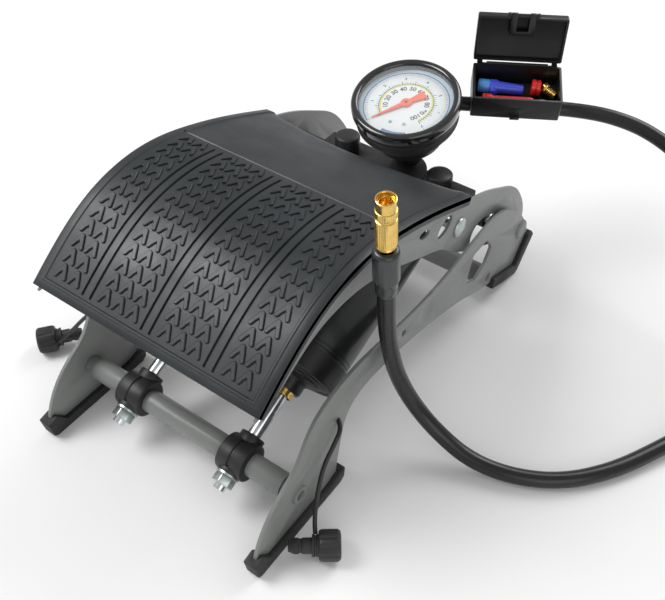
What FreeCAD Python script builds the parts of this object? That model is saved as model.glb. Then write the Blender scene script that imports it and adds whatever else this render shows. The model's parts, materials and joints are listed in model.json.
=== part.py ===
"""Twin-barrel foot pump with a dial gauge, an adapter case and a short hose.

Millimetres. X runs across the pump, Y from its low front end to the rear pivot, Z up.
The model is drawn with Y = 0 at the front feet, and is moved at the end so that its origin
is the middle of the stand on the ground.
"""
import FreeCAD
import Part
import os
from math import atan2, cos, degrees, hypot, pi, radians, sin, tan

V = FreeCAD.Vector
ACROSS = V(1, 0, 0)
UP = V(0, 0, 1)

# ---- driving dimensions ------------------------------------------------------------------
half_width = 92.0            # outer face of the base plates
plate_thick = 2.5
flange_half = 85.5           # outer face of the treadle's side flanges
sheet_thick = 2.0            # treadle steel
mat_thick = 4.5
mat_half = 87.5
run_clearance = 0.05         # radial, shaft in hole
free_gap = 0.4               # between pieces that move past each other

shoe_width = 10.0            # rubber feet

crossbar_y, crossbar_z = 42.6, 32.5
crossbar_r = 8.0
spigot_r = 6.0               # the crossbar's turned-down ends
rear_bar_y, rear_bar_z, rear_bar_r = 283.0, 30.0, 8.0
pivot_y, pivot_z, pivot_r = 333.7, 43.3, 5.0
shaft_y, shaft_z, shaft_r = 234.3, 112.0, 4.0

barrel_x = 44.4              # each barrel's distance from the middle
barrel_r, barrel_wall = 28.0, 2.5
barrel_start, barrel_length = 68.0, 118.0
head_length = 9.0
cap_skirt, cap_wall = 14.0, 1.2
boss_r, boss_length = 10.5, 9.0
gland_r, gland_length = 7.5, 4.5
lug_r, link_hose_r = 11.0, 4.0
rod_r = 4.75
rod_play = 1.9               # rod in gland, which the opened linkage uses
piston_play = 1.6            # piston in bore, for the same reason
piston_at, piston_length = 130.0, 14.0
cup_width, cup_depth = 4.0, 3.0
collar_r, collar_width = 13.0, 21.0
nut_flats, nut_height = 13.0, 6.5

bridge_y, bridge_top = 283.6, 93.0
bridge_half, bridge_depth, bridge_height = 64.0, 34.0, 17.0
cap_x, valve_cap_r, valve_cap_height = 41.4, 10.5, 15.0
valve_seat = 4.5             # how deep the valve caps screw in

gauge_x, gauge_y, gauge_z = 4.0, 290.0, 155.0
gauge_lean = 14.0            # degrees the dial faces forward of straight up
dial_turn = 13.0             # degrees the dial is turned about its own axis
bezel_r, dial_r = 40.0, 34.2
housing_depth, housing_foot_r = 41.0, 26.0
stem_r = 9.0

case_length, case_depth, case_height = 66.0, 36.0, 19.0
case_wall = 1.8
lid_height = 6.0
clip_length = 14.0

hose_r, cuff_r = 5.6, 8.0
cuff_length = 36.0
connector_r, connector_length = 6.2, 38.0
tyre_valve_r = 3.9           # the socket that goes over a tyre valve
strap_r = 1.5
pin_cap_r, pin_cap_length, pin_shank_r, pin_shank_length = 10.0, 14.0, 5.0, 19.0

parts = {}


# ---- small helpers -----------------------------------------------------------------------
def cylinder(radius, length, base, direction):
    return Part.makeCylinder(radius, length, base, direction)


def tube(outer, inner, length, base, direction):
    return cylinder(outer, length, base, direction).cut(cylinder(inner, length, base, direction))


def box(x0, x1, y0, y1, z0, z1):
    return Part.makeBox(x1 - x0, y1 - y0, z1 - z0, V(x0, y0, z0))


def mirrored(shape):
    return shape.mirror(V(0, 0, 0), ACROSS)


def plate(face, x0, thickness):
    """A flat face in the Y-Z plane, moved to x0 and given its thickness."""
    moved = face.copy()
    moved.translate(V(x0, 0, 0))
    return moved.extrude(V(thickness, 0, 0))


def curve(points):
    spline = Part.BSplineCurve()
    spline.interpolate([V(0, y, z) for y, z in points])
    return spline.toShape()


def line(a, b):
    return Part.LineSegment(V(0, *a), V(0, *b)).toShape()


def polygon(points):
    corners = [V(0, y, z) for y, z in points]
    return Part.Face(Part.makePolygon(corners + corners[:1]))


def rounded(shape, radius, wanted):
    """Fillets the edges that wanted() picks."""
    return shape.makeFillet(radius, [edge for edge in shape.Edges if wanted(edge)])


def lengthwise(edge):
    """An edge that runs straight across, along X."""
    if edge.Curve.TypeId != "Part::GeomLine":
        return False
    return abs(edge.tangentAt(edge.FirstParameter).x) > 0.999


def ellipse_face(y, z, half_long, half_short, turn):
    """A flat oval in the Y-Z plane, turned about X."""
    ring = Part.Ellipse(V(0, 0, 0), half_long, half_short).toShape()
    face = Part.Face(Part.Wire([ring]))
    face.rotate(V(0, 0, 0), V(1, 1, 1), 120)
    face.rotate(V(0, 0, 0), ACROSS, turn)
    face.translate(V(0, y, z))
    return face


def hexagon(flats, height, base, direction):
    """A hexagonal prism across its flats."""
    radius = flats / 2 / cos(pi / 6)
    corners = [V(radius * cos(k * pi / 3), radius * sin(k * pi / 3), 0) for k in range(7)]
    solid = Part.Face(Part.makePolygon(corners)).extrude(V(0, 0, height))
    solid.Placement = FreeCAD.Placement(base, FreeCAD.Rotation(UP, direction))
    return solid


def revolved(profile, base, direction):
    """A turned solid. profile is (radius, height) pairs round the section."""
    corners = [V(r, 0, h) for r, h in profile]
    face = Part.Face(Part.makePolygon(corners + corners[:1]))
    solid = face.revolve(V(0, 0, 0), UP, 360)
    solid.Placement = FreeCAD.Placement(base, FreeCAD.Rotation(UP, direction))
    return solid


def tube_along(name, points, radius, print_radii=True):
    """A plain tube along straight runs joined by arcs as large as the runs allow."""
    knots = [V(*p) for p in points]
    edges, last, radii = [], knots[0], []
    for before, corner, after in zip(knots, knots[1:], knots[2:]):
        into = (corner - before).normalize()
        out = (after - corner).normalize()
        half_turn = into.getAngle(out) / 2
        setback = 0.45 * min((corner - before).Length, (after - corner).Length)
        radii.append(setback / tan(half_turn))
        start, finish = corner - into * setback, corner + out * setback
        side = (out - into).normalize()
        middle = corner + side * (setback / sin(half_turn) * (1 / cos(half_turn) - 1) * cos(half_turn))
        edges.append(Part.LineSegment(last, start).toShape())
        edges.append(Part.Arc(start, middle, finish).toShape())
        last = finish
    edges.append(Part.LineSegment(last, knots[-1]).toShape())
    path = Part.Wire(edges)
    section = Part.Circle(knots[0], (knots[1] - knots[0]).normalize(), radius).toShape()
    solid = path.makePipeShell([Part.Wire([section])], True, True)
    if print_radii:
        share = solid.Volume / (pi * radius ** 2 * path.Length)
        print(name, "length", round(path.Length), "radii", [round(r) for r in radii],
              "volume / (section x length)", round(share, 3))
    return solid


# ---- base: two arched plates on rubber feet ----------------------------------------------
inner_face = half_width - plate_thick
foot_top = [(-2.0, 12.0), (5.5, 30.0), (16.0, 43.0), (30.0, 53.5), (42.0, 62.0), (52.0, 76.0),
            (62.0, 86.0), (78.0, 92.5), (98.0, 95.0), (122.0, 93.5), (155.0, 88.5), (202.0, 86.0),
            (242.0, 90.3),
            (269.0, 93.0), (288.0, 90.8), (305.0, 82.5), (325.5, 65.4), (343.0, 42.0), (351.0, 27.0)]
arch_under = [(308.0, 12.5), (288.0, 19.5), (264.0, 29.0), (238.8, 40.5), (208.8, 51.0),
              (181.0, 59.0), (155.0, 64.5), (133.0, 67.5), (114.0, 68.5), (101.0, 65.5),
              (92.0, 56.0), (87.0, 38.0), (83.5, 22.0), (81.0, 3.0)]
rear_corner = (330.5, 2.5)
front_toe = (0.0, 3.0)


def base_plate_face():
    outline = [curve(foot_top), line(foot_top[-1], rear_corner), line(rear_corner, arch_under[0]),
               curve(arch_under), line(arch_under[-1], front_toe), line(front_toe, foot_top[0])]
    return Part.Face(Part.Wire(Part.__sortEdges__(outline)))


def base_plate():
    solid = plate(base_plate_face(), inner_face, plate_thick)
    triangle = [(244.5, 53.0), (250.5, 77.0), (271.0, 77.0), (281.0, 63.0), (274.0, 51.5), (260.0, 45.5)]
    window = plate(polygon(triangle), inner_face - 1, plate_thick + 2)
    window = rounded(window, 3.5, lengthwise)
    solid = solid.cut(window)
    dimple_r, dimple_depth = 9.5, 1.4      # a round pressing in the outer face
    ball_r = (dimple_r ** 2 + dimple_depth ** 2) / (2 * dimple_depth)
    ball = Part.makeSphere(ball_r, V(half_width + ball_r - dimple_depth, 187.0, 73.5))
    solid = solid.cut(ball)
    for y, z, r in ((crossbar_y, crossbar_z, spigot_r + run_clearance), (pivot_y, pivot_z, pivot_r),
                    (rear_bar_y, rear_bar_z, rear_bar_r - 2), (tether_y, tether_z, strap_r),
                    (158.0, 77.4, 2.5)):
        solid = solid.cut(cylinder(r, plate_thick + 2, V(inner_face - 1, y, z), ACROSS))
    return solid


def shoe(points, radius):
    """A rubber foot that the plate's edge sits in."""
    middle = half_width - plate_thick / 2
    solid = plate(polygon(points), middle - shoe_width / 2, shoe_width)
    solid = rounded(solid, radius, lengthwise)
    return solid.cut(plate(base_plate_face(), inner_face, plate_thick))


def rear_bar():
    """The lower rear tube, with necks that go into the plates."""
    body = cylinder(rear_bar_r, 2 * inner_face, V(-inner_face, rear_bar_y, rear_bar_z), ACROSS)
    neck = cylinder(rear_bar_r - 2, 2 * half_width, V(-half_width, rear_bar_y, rear_bar_z), ACROSS)
    bore = cylinder(rear_bar_r - 4, 2 * half_width, V(-half_width, rear_bar_y, rear_bar_z), ACROSS)
    return body.fuse(neck).cut(bore).removeSplitter()


def pivot_axle():
    """The rear hinge pin, with a domed head outside each plate."""
    head_r, head_height = pivot_r + 3.5, 2.4
    pin = cylinder(pivot_r, 2 * half_width, V(-half_width, pivot_y, pivot_z), ACROSS)
    for side in (-1, 1):
        dome = revolved([(0, 0), (head_r, 0), (head_r * 0.82, head_height * 0.7), (0, head_height)],
                        V(side * half_width, pivot_y, pivot_z), ACROSS * side)
        pin = pin.fuse(dome)
    return pin.removeSplitter()


def return_spring():
    """A pair of torsion springs: coils on the axle, legs down to the rear bar and up under the bridge."""
    wire_r, turns_width, coil_r = 1.5, 18.0, pivot_r + 2.2
    leg_r = wire_r - 0.2
    solids = []
    for side in (-1, 1):
        start = side * 40.0 - turns_width / 2
        coil = tube(coil_r + wire_r, coil_r - wire_r, turns_width, V(start, pivot_y, pivot_z), ACROSS)
        down = cylinder(leg_r, hypot(pivot_y - rear_bar_y, pivot_z - rear_bar_z) - rear_bar_r - wire_r,
                        V(start + wire_r, pivot_y, pivot_z - coil_r),
                        V(0, rear_bar_y - pivot_y, rear_bar_z - pivot_z + coil_r * 0.4))
        lift = cylinder(leg_r, 37.0, V(start + turns_width - wire_r, pivot_y, pivot_z + coil_r),
                        V(0, bridge_y - pivot_y, bridge_top - bridge_height - pivot_z - coil_r - 4))
        solids.append(coil.fuse(down).fuse(lift))
    return Part.Compound(solids)


# ---- treadle: bent steel pan with side flanges, rubber mat --------------------------------
mat_line = [(17.0, 133.0), (40.0, 150.0), (71.0, 167.0), (101.0, 174.0), (131.0, 173.2),
            (160.0, 166.5), (201.0, 152.5), (244.0, 134.5)]
flange_under = [(17.5, 127.8), (36.0, 132.0), (52.0, 140.5), (70.0, 148.5), (88.0, 151.5), (106.0, 151.0),
                (127.0, 146.5), (151.0, 137.5), (188.0, 120.0), (211.0, 108.5), (232.0, 91.0),
                (262.0, 72.0), (300.0, 50.0), (325.0, 32.5)]
flange_heel = [(244.0, 128.0), (275.5, 116.5), (302.0, 102.5), (322.0, 90.0), (336.0, 74.0),
               (346.5, 54.0), (347.0, 40.0), (340.0, 31.5), (325.0, 32.5)]


def offset_line(points, distance):
    """Points at a distance below the curve through the given points."""
    edge = curve(points)
    first, last = edge.ParameterRange
    count = 14
    found = []
    for k in range(count):
        parameter = first + (last - first) * k / (count - 1)
        at, ahead = edge.valueAt(parameter), edge.tangentAt(parameter)
        below = V(0, ahead.z, -ahead.y)
        found.append((at.y + below.y * distance, at.z + below.z * distance))
    return found


def ribbon(top, bottom):
    """A face between two curves that run the same way."""
    edges = [curve(top), line(top[-1], bottom[-1]), curve(bottom), line(bottom[0], top[0])]
    return Part.Face(Part.Wire(Part.__sortEdges__(edges)))


def rear_scoop():
    """What the mat's hollow rear edge leaves out."""
    reach = 260.0
    depth = 17.0
    radius = (mat_half ** 2 + depth ** 2) / (2 * depth)
    return cylinder(radius, 200.0, V(0, 244.0 - depth + radius, 80.0), UP).common(
        box(-mat_half, mat_half, 200.0, reach, 80.0, 200.0))


def tread_mat():
    """The rubber mat, with a lip that turns down over the pan's sides."""
    top = plate(ribbon(mat_line, offset_line(mat_line, mat_thick)), -mat_half, 2 * mat_half)
    lip = ribbon(mat_line, offset_line(mat_line, mat_thick + 3.0))
    lip_wall = mat_half - flange_half
    for x in (-mat_half, flange_half):
        top = top.fuse(plate(lip, x, lip_wall))
    scoop = rear_scoop()
    keep = box(-flange_half + 8, flange_half - 8, 200.0, 260.0, 80.0, 200.0)
    return top.cut(scoop.common(keep)).removeSplitter()


def flange_face():
    under_mat = offset_line(mat_line, mat_thick)
    outline = [curve(under_mat), line(under_mat[-1], flange_heel[0]), curve(flange_heel),
               curve(flange_under), line(flange_under[0], under_mat[0])]
    return Part.Face(Part.Wire(Part.__sortEdges__(outline)))


def treadle_pan():
    under_mat = offset_line(mat_line, mat_thick)
    sheet = ribbon(under_mat, offset_line(mat_line, mat_thick + sheet_thick))
    pan = plate(sheet, -flange_half, 2 * flange_half)
    keep = box(-flange_half + 8, flange_half - 8, 200.0, 260.0, 80.0, 200.0)
    pan = pan.cut(rear_scoop().common(keep))
    flange_inner = flange_half - sheet_thick
    face = flange_face()
    for x in (-flange_half, flange_inner):
        pan = pan.fuse(plate(face, x, sheet_thick))
    pan = pan.removeSplitter()
    wide = 2 * flange_half + 2
    for y, z, r in ((pivot_y, pivot_z, pivot_r + run_clearance), (shaft_y, shaft_z, shaft_r),
                    (bridge_y, bolt_z, bolt_r)):
        pan = pan.cut(cylinder(r, wide, V(-wide / 2, y, z), ACROSS))
    ovals = ((271.0, 80.5, 17.0, 13.0, -32), (213.0, 127.0, 9.5, 6.0, 20), (186.0, 139.5, 6.5, 3.2, -20))
    for oval in ovals:
        pan = pan.cut(plate(ellipse_face(*oval), -wide / 2, wide))
    return pan


# ---- barrels, on an axis from the crossbar to the shaft -----------------------------------
lean = atan2(shaft_z - crossbar_z, shaft_y - crossbar_y)
barrel_axis = V(0, cos(lean), sin(lean))
reach_to_shaft = hypot(shaft_z - crossbar_z, shaft_y - crossbar_y)
head_start = barrel_start + barrel_length
bolt_z, bolt_r = 84.5, 3.0
tether_y, tether_z = 84.0, 64.0


def on_axis(side, s):
    """A point on a barrel's axis, s from the crossbar's middle."""
    return V(side * barrel_x, crossbar_y, crossbar_z) + barrel_axis * s


def barrel(side):
    return tube(barrel_r, barrel_r - barrel_wall, barrel_length, on_axis(side, barrel_start), barrel_axis)


def barrel_head(side):
    """The closed rear end, with the lug that the shaft goes through."""
    lug_half = 13.0
    edge_r = barrel_r - barrel_wall
    plug = cylinder(edge_r, 4.0, on_axis(side, head_start - 4.0), barrel_axis)
    disc = revolved([(0, 0), (edge_r, 0), (edge_r, head_length - 4.0), (edge_r - 3.0, head_length),
                     (0, head_length)], on_axis(side, head_start), barrel_axis)
    centre = on_axis(side, reach_to_shaft)
    lug = cylinder(lug_r, 2 * lug_half, centre - ACROSS * lug_half, ACROSS)
    neck_length = reach_to_shaft - head_start - head_length + 1
    neck = Part.makeBox(2 * lug_half, neck_length, 2 * lug_r * 0.9)
    neck.translate(V(-lug_half, 0, -lug_r * 0.9))
    neck.rotate(V(0, 0, 0), ACROSS, degrees(lean))
    neck.translate(on_axis(side, head_start + head_length - 1))
    bore = cylinder(shaft_r + run_clearance, 2 * lug_half, centre - ACROSS * lug_half, ACROSS)
    return plug.fuse(disc).fuse(lug).fuse(neck).cut(bore).removeSplitter()


def barrel_cap(side):
    """The front cap: a skirt over the tube, a shallow cone and a boss for the rod."""
    outer = barrel_r + cap_wall
    rim, nose = 3.0, 7.0
    hole = rod_r + rod_play
    profile = [(barrel_r, cap_skirt), (outer, cap_skirt), (outer, -rim), (outer - 3.0, -rim),
               (outer - 4.5, -rim + 1.2), (boss_r + 2, -nose), (boss_r, -nose - boss_length),
               (hole, -nose - boss_length), (hole, 0), (barrel_r, 0)]
    return revolved(profile, on_axis(side, barrel_start), barrel_axis)


def gland_ring(side):
    front = barrel_start - 7.0 - boss_length - gland_length
    return tube(gland_r, rod_r + rod_play, gland_length, on_axis(side, front), barrel_axis)


def check_valve(side):
    """The delivery valve: a rubber disc held on the inside of the head."""
    return cylinder(6.0, 2.5, on_axis(side, head_start - 4.0 - 2.5), barrel_axis)


# ---- crossbar with the rods ---------------------------------------------------------------
def crossbar():
    gap = free_gap
    centre = V(0, crossbar_y, crossbar_z)
    body_half = inner_face - 8.0
    body = cylinder(crossbar_r, 2 * body_half, centre - ACROSS * body_half, ACROSS)
    spigot = cylinder(spigot_r, 2 * (half_width + 1.5), centre - ACROSS * (half_width + 1.5), ACROSS)
    shoulder = cylinder(spigot_r + 0.5, 2 * (inner_face - gap), centre - ACROSS * (inner_face - gap), ACROSS)
    solid = body.fuse(shoulder).fuse(spigot)
    solid = solid.cut(cylinder(spigot_r - 2, 2 * half_width + 8, centre - ACROSS * (half_width + 4), ACROSS))
    for side in (-1, 1):
        solid = solid.cut(cylinder(rod_r, 4 * crossbar_r, on_axis(side, -2 * crossbar_r), barrel_axis))
    return solid.removeSplitter()


def rod(side):
    """The piston rod: it goes through the crossbar and ends in a thread."""
    tail = collar_r + nut_height + 5.0
    shank = cylinder(rod_r, piston_at + collar_r - 4.0, on_axis(side, -collar_r + 4.0), barrel_axis)
    thread = cylinder(4.0, tail - collar_r + 4.0, on_axis(side, -tail), barrel_axis)
    spigot = cylinder(4.0, piston_length + 6.0, on_axis(side, piston_at), barrel_axis)
    return shank.fuse(thread).fuse(spigot).removeSplitter()


def rod_collar(side):
    """A plastic saddle clamped round the crossbar, with a boss on each side for the rod."""
    centre = V(side * barrel_x, crossbar_y, crossbar_z)
    ring = cylinder(collar_r, collar_width, centre - ACROSS * collar_width / 2, ACROSS)
    ring = ring.makeFillet(1.5, [e for e in ring.Edges if e.Curve.TypeId == "Part::GeomCircle"])
    boss = cylinder(9.0, 2 * collar_r + 3.0, on_axis(side, -collar_r), barrel_axis)
    seat = cylinder(crossbar_r, collar_width + 2, centre - ACROSS * (collar_width / 2 + 1), ACROSS)
    solid = ring.fuse(boss).cut(seat)
    solid = solid.cut(cylinder(rod_r, 4 * collar_r, on_axis(side, -collar_r + 4.0), barrel_axis))
    return solid.cut(cylinder(4.0, 4 * collar_r, on_axis(side, -2 * collar_r), barrel_axis)).removeSplitter()


def rod_nuts():
    solids = []
    for side in (-1, 1):
        back = on_axis(side, -collar_r)
        washer = tube(8.0, 4.0, 1.5, back - barrel_axis * 1.5, barrel_axis)
        nut = hexagon(nut_flats, nut_height, back - barrel_axis * (1.5 + nut_height), barrel_axis)
        nut = nut.cut(cylinder(4.0, nut_height, back - barrel_axis * (1.5 + nut_height), barrel_axis))
        solids += [washer, nut]
    return Part.Compound(solids)


def piston(side):
    radius = barrel_r - barrel_wall - piston_play
    disc = tube(radius, 4.0, piston_length, on_axis(side, piston_at), barrel_axis)
    groove_at = on_axis(side, piston_at + piston_length / 2 - cup_width / 2)
    return disc.cut(tube(radius + 1, radius - cup_depth, cup_width, groove_at, barrel_axis))


def piston_cup(side):
    radius = barrel_r - barrel_wall - piston_play
    groove_at = on_axis(side, piston_at + piston_length / 2 - cup_width / 2)
    return tube(radius, radius - cup_depth, cup_width, groove_at, barrel_axis)


def piston_nuts():
    solids = []
    for side in (-1, 1):
        base = on_axis(side, piston_at + piston_length)
        nut = hexagon(nut_flats, 5.0, base, barrel_axis)
        solids.append(nut.cut(cylinder(4.0, 5.0, base, barrel_axis)))
    return Part.Compound(solids)


# ---- shaft through the barrel heads, bridge and gauge -------------------------------------
def barrel_shaft():
    return cylinder(shaft_r, 2 * flange_half, V(-flange_half, shaft_y, shaft_z), ACROSS)


def domed_nuts(y, z, radius, height):
    """A pair of domed nuts outside the two flanges, in the gap beside the base plates."""
    solids = []
    for side in (-1, 1):
        solids.append(revolved([(0, 0), (radius, 0), (radius * 0.92, height * 0.5), (0, height)],
                               V(side * flange_half, y, z), ACROSS * side))
    return solids


def manifold_bridge():
    """The plastic bar between the flanges, which collects the air of both barrels."""
    y0, y1 = bridge_y - bridge_depth / 2, bridge_y + bridge_depth / 2
    bar = box(-bridge_half, bridge_half, y0, y1, bridge_top - bridge_height, bridge_top)
    bar = rounded(bar, 4.0, lengthwise)
    flange_inner = flange_half - sheet_thick
    ends = cylinder(7.0, 2 * flange_inner, V(-flange_inner, bridge_y, bolt_z), ACROSS)
    pad = cylinder(housing_foot_r - 4.0, 6.0, V(gauge_x, gauge_y - 4.0, bridge_top - 4.0), UP)
    bar = bar.fuse(ends).fuse(pad)
    bar = bar.cut(cylinder(bolt_r, 2 * flange_inner, V(-flange_inner, bridge_y, bolt_z), ACROSS))
    for side in (-1, 1):
        seat = V(side * cap_x, bridge_y, bridge_top - valve_seat)
        bar = bar.cut(cylinder(valve_cap_r - 4.0, valve_seat, seat, UP))
    return bar.cut(gauge_stem()).removeSplitter()


def bridge_bolt():
    return cylinder(bolt_r, 2 * flange_half, V(-flange_half, bridge_y, bolt_z), ACROSS)


def valve_cap(side):
    """A screwed cap with six flats and a domed top, over a delivery valve."""
    base = V(side * cap_x, bridge_y, bridge_top)
    stem = cylinder(valve_cap_r - 4.0, valve_seat, base - UP * valve_seat, UP)
    dome = revolved([(0, 0), (valve_cap_r, 0), (valve_cap_r, valve_cap_height * 0.7),
                     (valve_cap_r * 0.88, valve_cap_height * 0.93), (valve_cap_r * 0.6, valve_cap_height),
                     (0, valve_cap_height)], base, UP)
    flats = hexagon(2 * valve_cap_r - 2.0, valve_cap_height, base, UP)
    return dome.common(flats).fuse(stem).removeSplitter()


def link_hose(side):
    """The short hose from a barrel head down to the bridge."""
    finish = V(side * barrel_x, bridge_y - bridge_depth / 2, bridge_top - bridge_height / 2)
    knee = finish - V(0, 9.0, 0)
    start = on_axis(side, reach_to_shaft)
    start = start + (knee - start).normalize() * lug_r
    return tube_along("link hose", [tuple(start), tuple(knee), tuple(finish)], link_hose_r, print_radii=False)


dial_axis = V(0, -sin(radians(gauge_lean)), cos(radians(gauge_lean)))
dial_centre = V(gauge_x, gauge_y, gauge_z)


def gauge_solid(profile, drop):
    """A turned piece on the gauge's axis, drop below its front edge."""
    return revolved(profile, dial_centre - dial_axis * drop, dial_axis)


def gauge_housing():
    """A rubber-clad cup that narrows to its foot."""
    rim = bezel_r - 2.5
    well = housing_depth - 4.0
    return gauge_solid([(0, -housing_depth), (housing_foot_r - 3.0, -housing_depth),
                        (housing_foot_r, -housing_depth + 3.0), (rim - 2.5, -housing_depth + 17.0),
                        (rim, -18.0), (rim, -4.0), (rim - 2.4, -4.0), (rim - 2.4, -well + 10.0),
                        (housing_foot_r - 5.0, -well), (0, -well)], 0.0)


def gauge_bezel():
    """A domed ring that laps over the housing's rim."""
    return gauge_solid([(bezel_r, -9.0), (bezel_r, -2.5), (bezel_r - 1.2, -0.7), (bezel_r - 2.8, 0),
                        (dial_r + 1.4, -0.7), (dial_r, -2.4), (dial_r, -4.0), (bezel_r - 2.5, -4.0),
                        (bezel_r - 2.5, -9.0)], 0.0)


def gauge_dial():
    return gauge_solid([(3.0, -8.0), (dial_r + 0.8, -8.0), (dial_r + 0.8, -7.0), (3.0, -7.0)], 0.0)


def gauge_lens():
    return gauge_solid([(0, -3.2), (dial_r - 0.2, -3.2), (dial_r - 0.2, -1.8), (0, -1.8)], 0.0)


def gauge_movement():
    """The pressure element and its gearing, as one closed drum with the needle's spindle."""
    return gauge_solid([(0, -24.0), (20.0, -24.0), (20.0, -8.0), (2.4, -8.0), (2.4, -6.6), (1.0, -6.6),
                        (1.0, -5.0), (0, -5.0)], 0.0)


def gauge_needle():
    """A tapered needle with a wide tail, drawn pointing at zero, and its hub."""
    tip, tail, hub = 28.5, 15.0, 3.6
    outline = [V(-0.4, tip, 0), V(0.4, tip, 0), V(1.9, 2.0, 0), V(1.9, -2.0, 0), V(3.4, -tail, 0),
               V(1.4, -tail - 1.5, 0), V(-1.4, -tail - 1.5, 0), V(-3.4, -tail, 0), V(-1.9, -2.0, 0),
               V(-1.9, 2.0, 0)]
    blade = Part.Face(Part.makePolygon(outline + outline[:1])).extrude(V(0, 0, 0.8))
    needle = blade.fuse(cylinder(hub, 1.6, V(0, 0, -0.2), UP))
    needle = needle.cut(cylinder(1.0 + run_clearance, 4.0, V(0, 0, -1.0), UP))
    zero_turn = 135.0 + dial_turn
    needle.rotate(V(0, 0, 0), UP, zero_turn)
    needle.Placement = FreeCAD.Placement(dial_centre - dial_axis * 6.2,
                                         FreeCAD.Rotation(UP, dial_axis)).multiply(needle.Placement)
    return needle


def gauge_stem():
    """The brass connection between the bridge and the gauge."""
    foot = dial_centre - dial_axis * housing_depth
    bottom = V(foot.x, foot.y, bridge_top - 6.0)
    shank = cylinder(stem_r, foot.z + 3.0 - bottom.z, bottom, UP)
    return shank.cut(gauge_solid([(0, -housing_depth), (60.0, -housing_depth), (60.0, 0), (0, 0)], 0.0))


# ---- adapter case on the hose -------------------------------------------------------------
case_turn = 30.0             # degrees about the vertical
case_tip = 14.0              # degrees the open side leans forward
lid_open = 104.0             # degrees from shut to how the lid stands
hinge_r, hinge_pin_r = 1.8, 0.9
latch_half, latch_pin_r = 9.0, 0.6
lid_gap = 0.15
case_place = FreeCAD.Placement(V(55.0, 366.0, 139.0), FreeCAD.Rotation(UP, case_turn)).multiply(
    FreeCAD.Placement(V(0, 0, 0), FreeCAD.Rotation(ACROSS, case_tip)))
hinge_at = V(0, case_depth / 2 + hinge_r, case_height / 2 - hinge_r)
latch_at = V(0, hinge_r + case_depth + 1.4, -3.1)    # the latch's own hinge, from the lid's


def in_case(shape):
    """Moves a piece drawn round the case's own middle to its place."""
    placed = shape.copy()
    placed.Placement = case_place.multiply(placed.Placement)
    return placed


def on_lid(shape):
    """Moves a piece drawn round the lid's hinge, lying open and flat behind it, to how the lid stands."""
    shape.rotate(V(0, 0, 0), ACROSS, 180.0 - lid_open)
    shape.translate(hinge_at)
    return in_case(shape)


def upright(edge):
    return abs(edge.tangentAt(edge.FirstParameter).z) > 0.999


def case_base():
    """An open tray with a hinge bar behind, a snap and a lip in front and a clip for the hose below."""
    hl, hd, hh = case_length / 2, case_depth / 2, case_height / 2
    tray = rounded(box(-hl, hl, -hd, hd, -hh, hh), 1.5, upright)
    tray = tray.cut(box(-hl + case_wall, hl - case_wall, -hd + case_wall, hd - case_wall,
                        -hh + case_wall, hh + 1))
    snap = box(-4.0, 4.0, -hd - 0.35, -hd, -2.0, 0.6)
    lip = box(-3.5, 3.5, -hd - 1.8, -hd, -hh, -hh + 2.6)
    hose_z = -hh - hose_r - 0.4
    clip = cylinder(hose_r + 2.0, clip_length, V(-clip_length / 2, 0, hose_z), ACROSS)
    clip = clip.fuse(box(-clip_length / 2, clip_length / 2, -hose_r, hose_r, hose_z, -hh))
    clip = clip.cut(box(-20, 20, -20, 20, hose_z - 30.0, hose_z - 3.0))
    clip = clip.cut(box(-20, 20, -20, 20, -hh, hh))
    clip = clip.cut(cylinder(hose_r + 0.4, 40.0, V(-20.0, 0, hose_z), ACROSS))
    bar_half = hl - 10.0
    hinge = cylinder(hinge_r, 2 * bar_half, hinge_at - ACROSS * bar_half, ACROSS)
    web = box(-bar_half, bar_half, hd - 0.5, hinge_at.y, hinge_at.z - hinge_r, hinge_at.z - 0.6)
    bore = cylinder(hinge_pin_r, case_length, hinge_at - ACROSS * hl, ACROSS)
    solid = tray.fuse(snap).fuse(lip).fuse(clip).fuse(hinge).fuse(web)
    return in_case(solid.cut(bore).removeSplitter())


def case_lid():
    """A shallow lid with a hinge pin on two arms."""
    hl = case_length / 2
    rim = -hinge_r - lid_gap
    lid = rounded(box(-hl, hl, hinge_r, hinge_r + case_depth, rim - lid_height, rim), 1.5, upright)
    lid = lid.cut(box(-hl + case_wall, hl - case_wall, hinge_r + case_wall, hinge_r + case_depth - case_wall,
                      rim - lid_height + case_wall, rim + 1))
    notch_half = latch_half + 0.3
    lid = lid.cut(box(-notch_half, notch_half, case_depth - 2.0, case_depth + 4.0, rim - 2.4, rim + 1))
    for x in (-hl + 3.0, hl - 7.0):
        lid = lid.fuse(box(x, x + 4.0, -1.2, hinge_r - 0.6, rim - 1.5, 1.2))
        lid = lid.fuse(box(x, x + 4.0, 1.0, hinge_r + 1.2, rim - 1.5, rim))
    pin = cylinder(hinge_pin_r - run_clearance, case_length - 8.0, V(-hl + 4.0, 0, 0), ACROSS)
    for x in (-notch_half - 2.4, notch_half):
        lid = lid.fuse(box(x, x + 2.4, hinge_r + case_depth - 1.2, latch_at.y + 1.2, rim - 2.2, rim))
    pin_half = notch_half + 1.0
    latch_pin = cylinder(latch_pin_r - run_clearance, 2 * pin_half, latch_at - ACROSS * pin_half, ACROSS)
    return on_lid(lid.fuse(pin).fuse(latch_pin).removeSplitter())


def latch_point():
    """The latch hinge's place with the lid as it stands."""
    turn = FreeCAD.Rotation(ACROSS, 180.0 - lid_open)
    return case_place.multVec(hinge_at + turn.multVec(latch_at))


def case_latch():
    """A U-shaped snap on the lid's free edge, hanging down inside the open lid."""
    hang, thick = 16.0, 2.0
    loop = box(-latch_half, latch_half, -hang, 1.2, -thick / 2, thick / 2)
    loop = loop.cut(box(-4.5, 4.5, -hang + 3.0, 2.0, -2, 2))
    loop = loop.cut(cylinder(latch_pin_r, 2 * latch_half, V(-latch_half, 0, 0), ACROSS))
    loop.translate(latch_at)
    return on_lid(loop)


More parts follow.
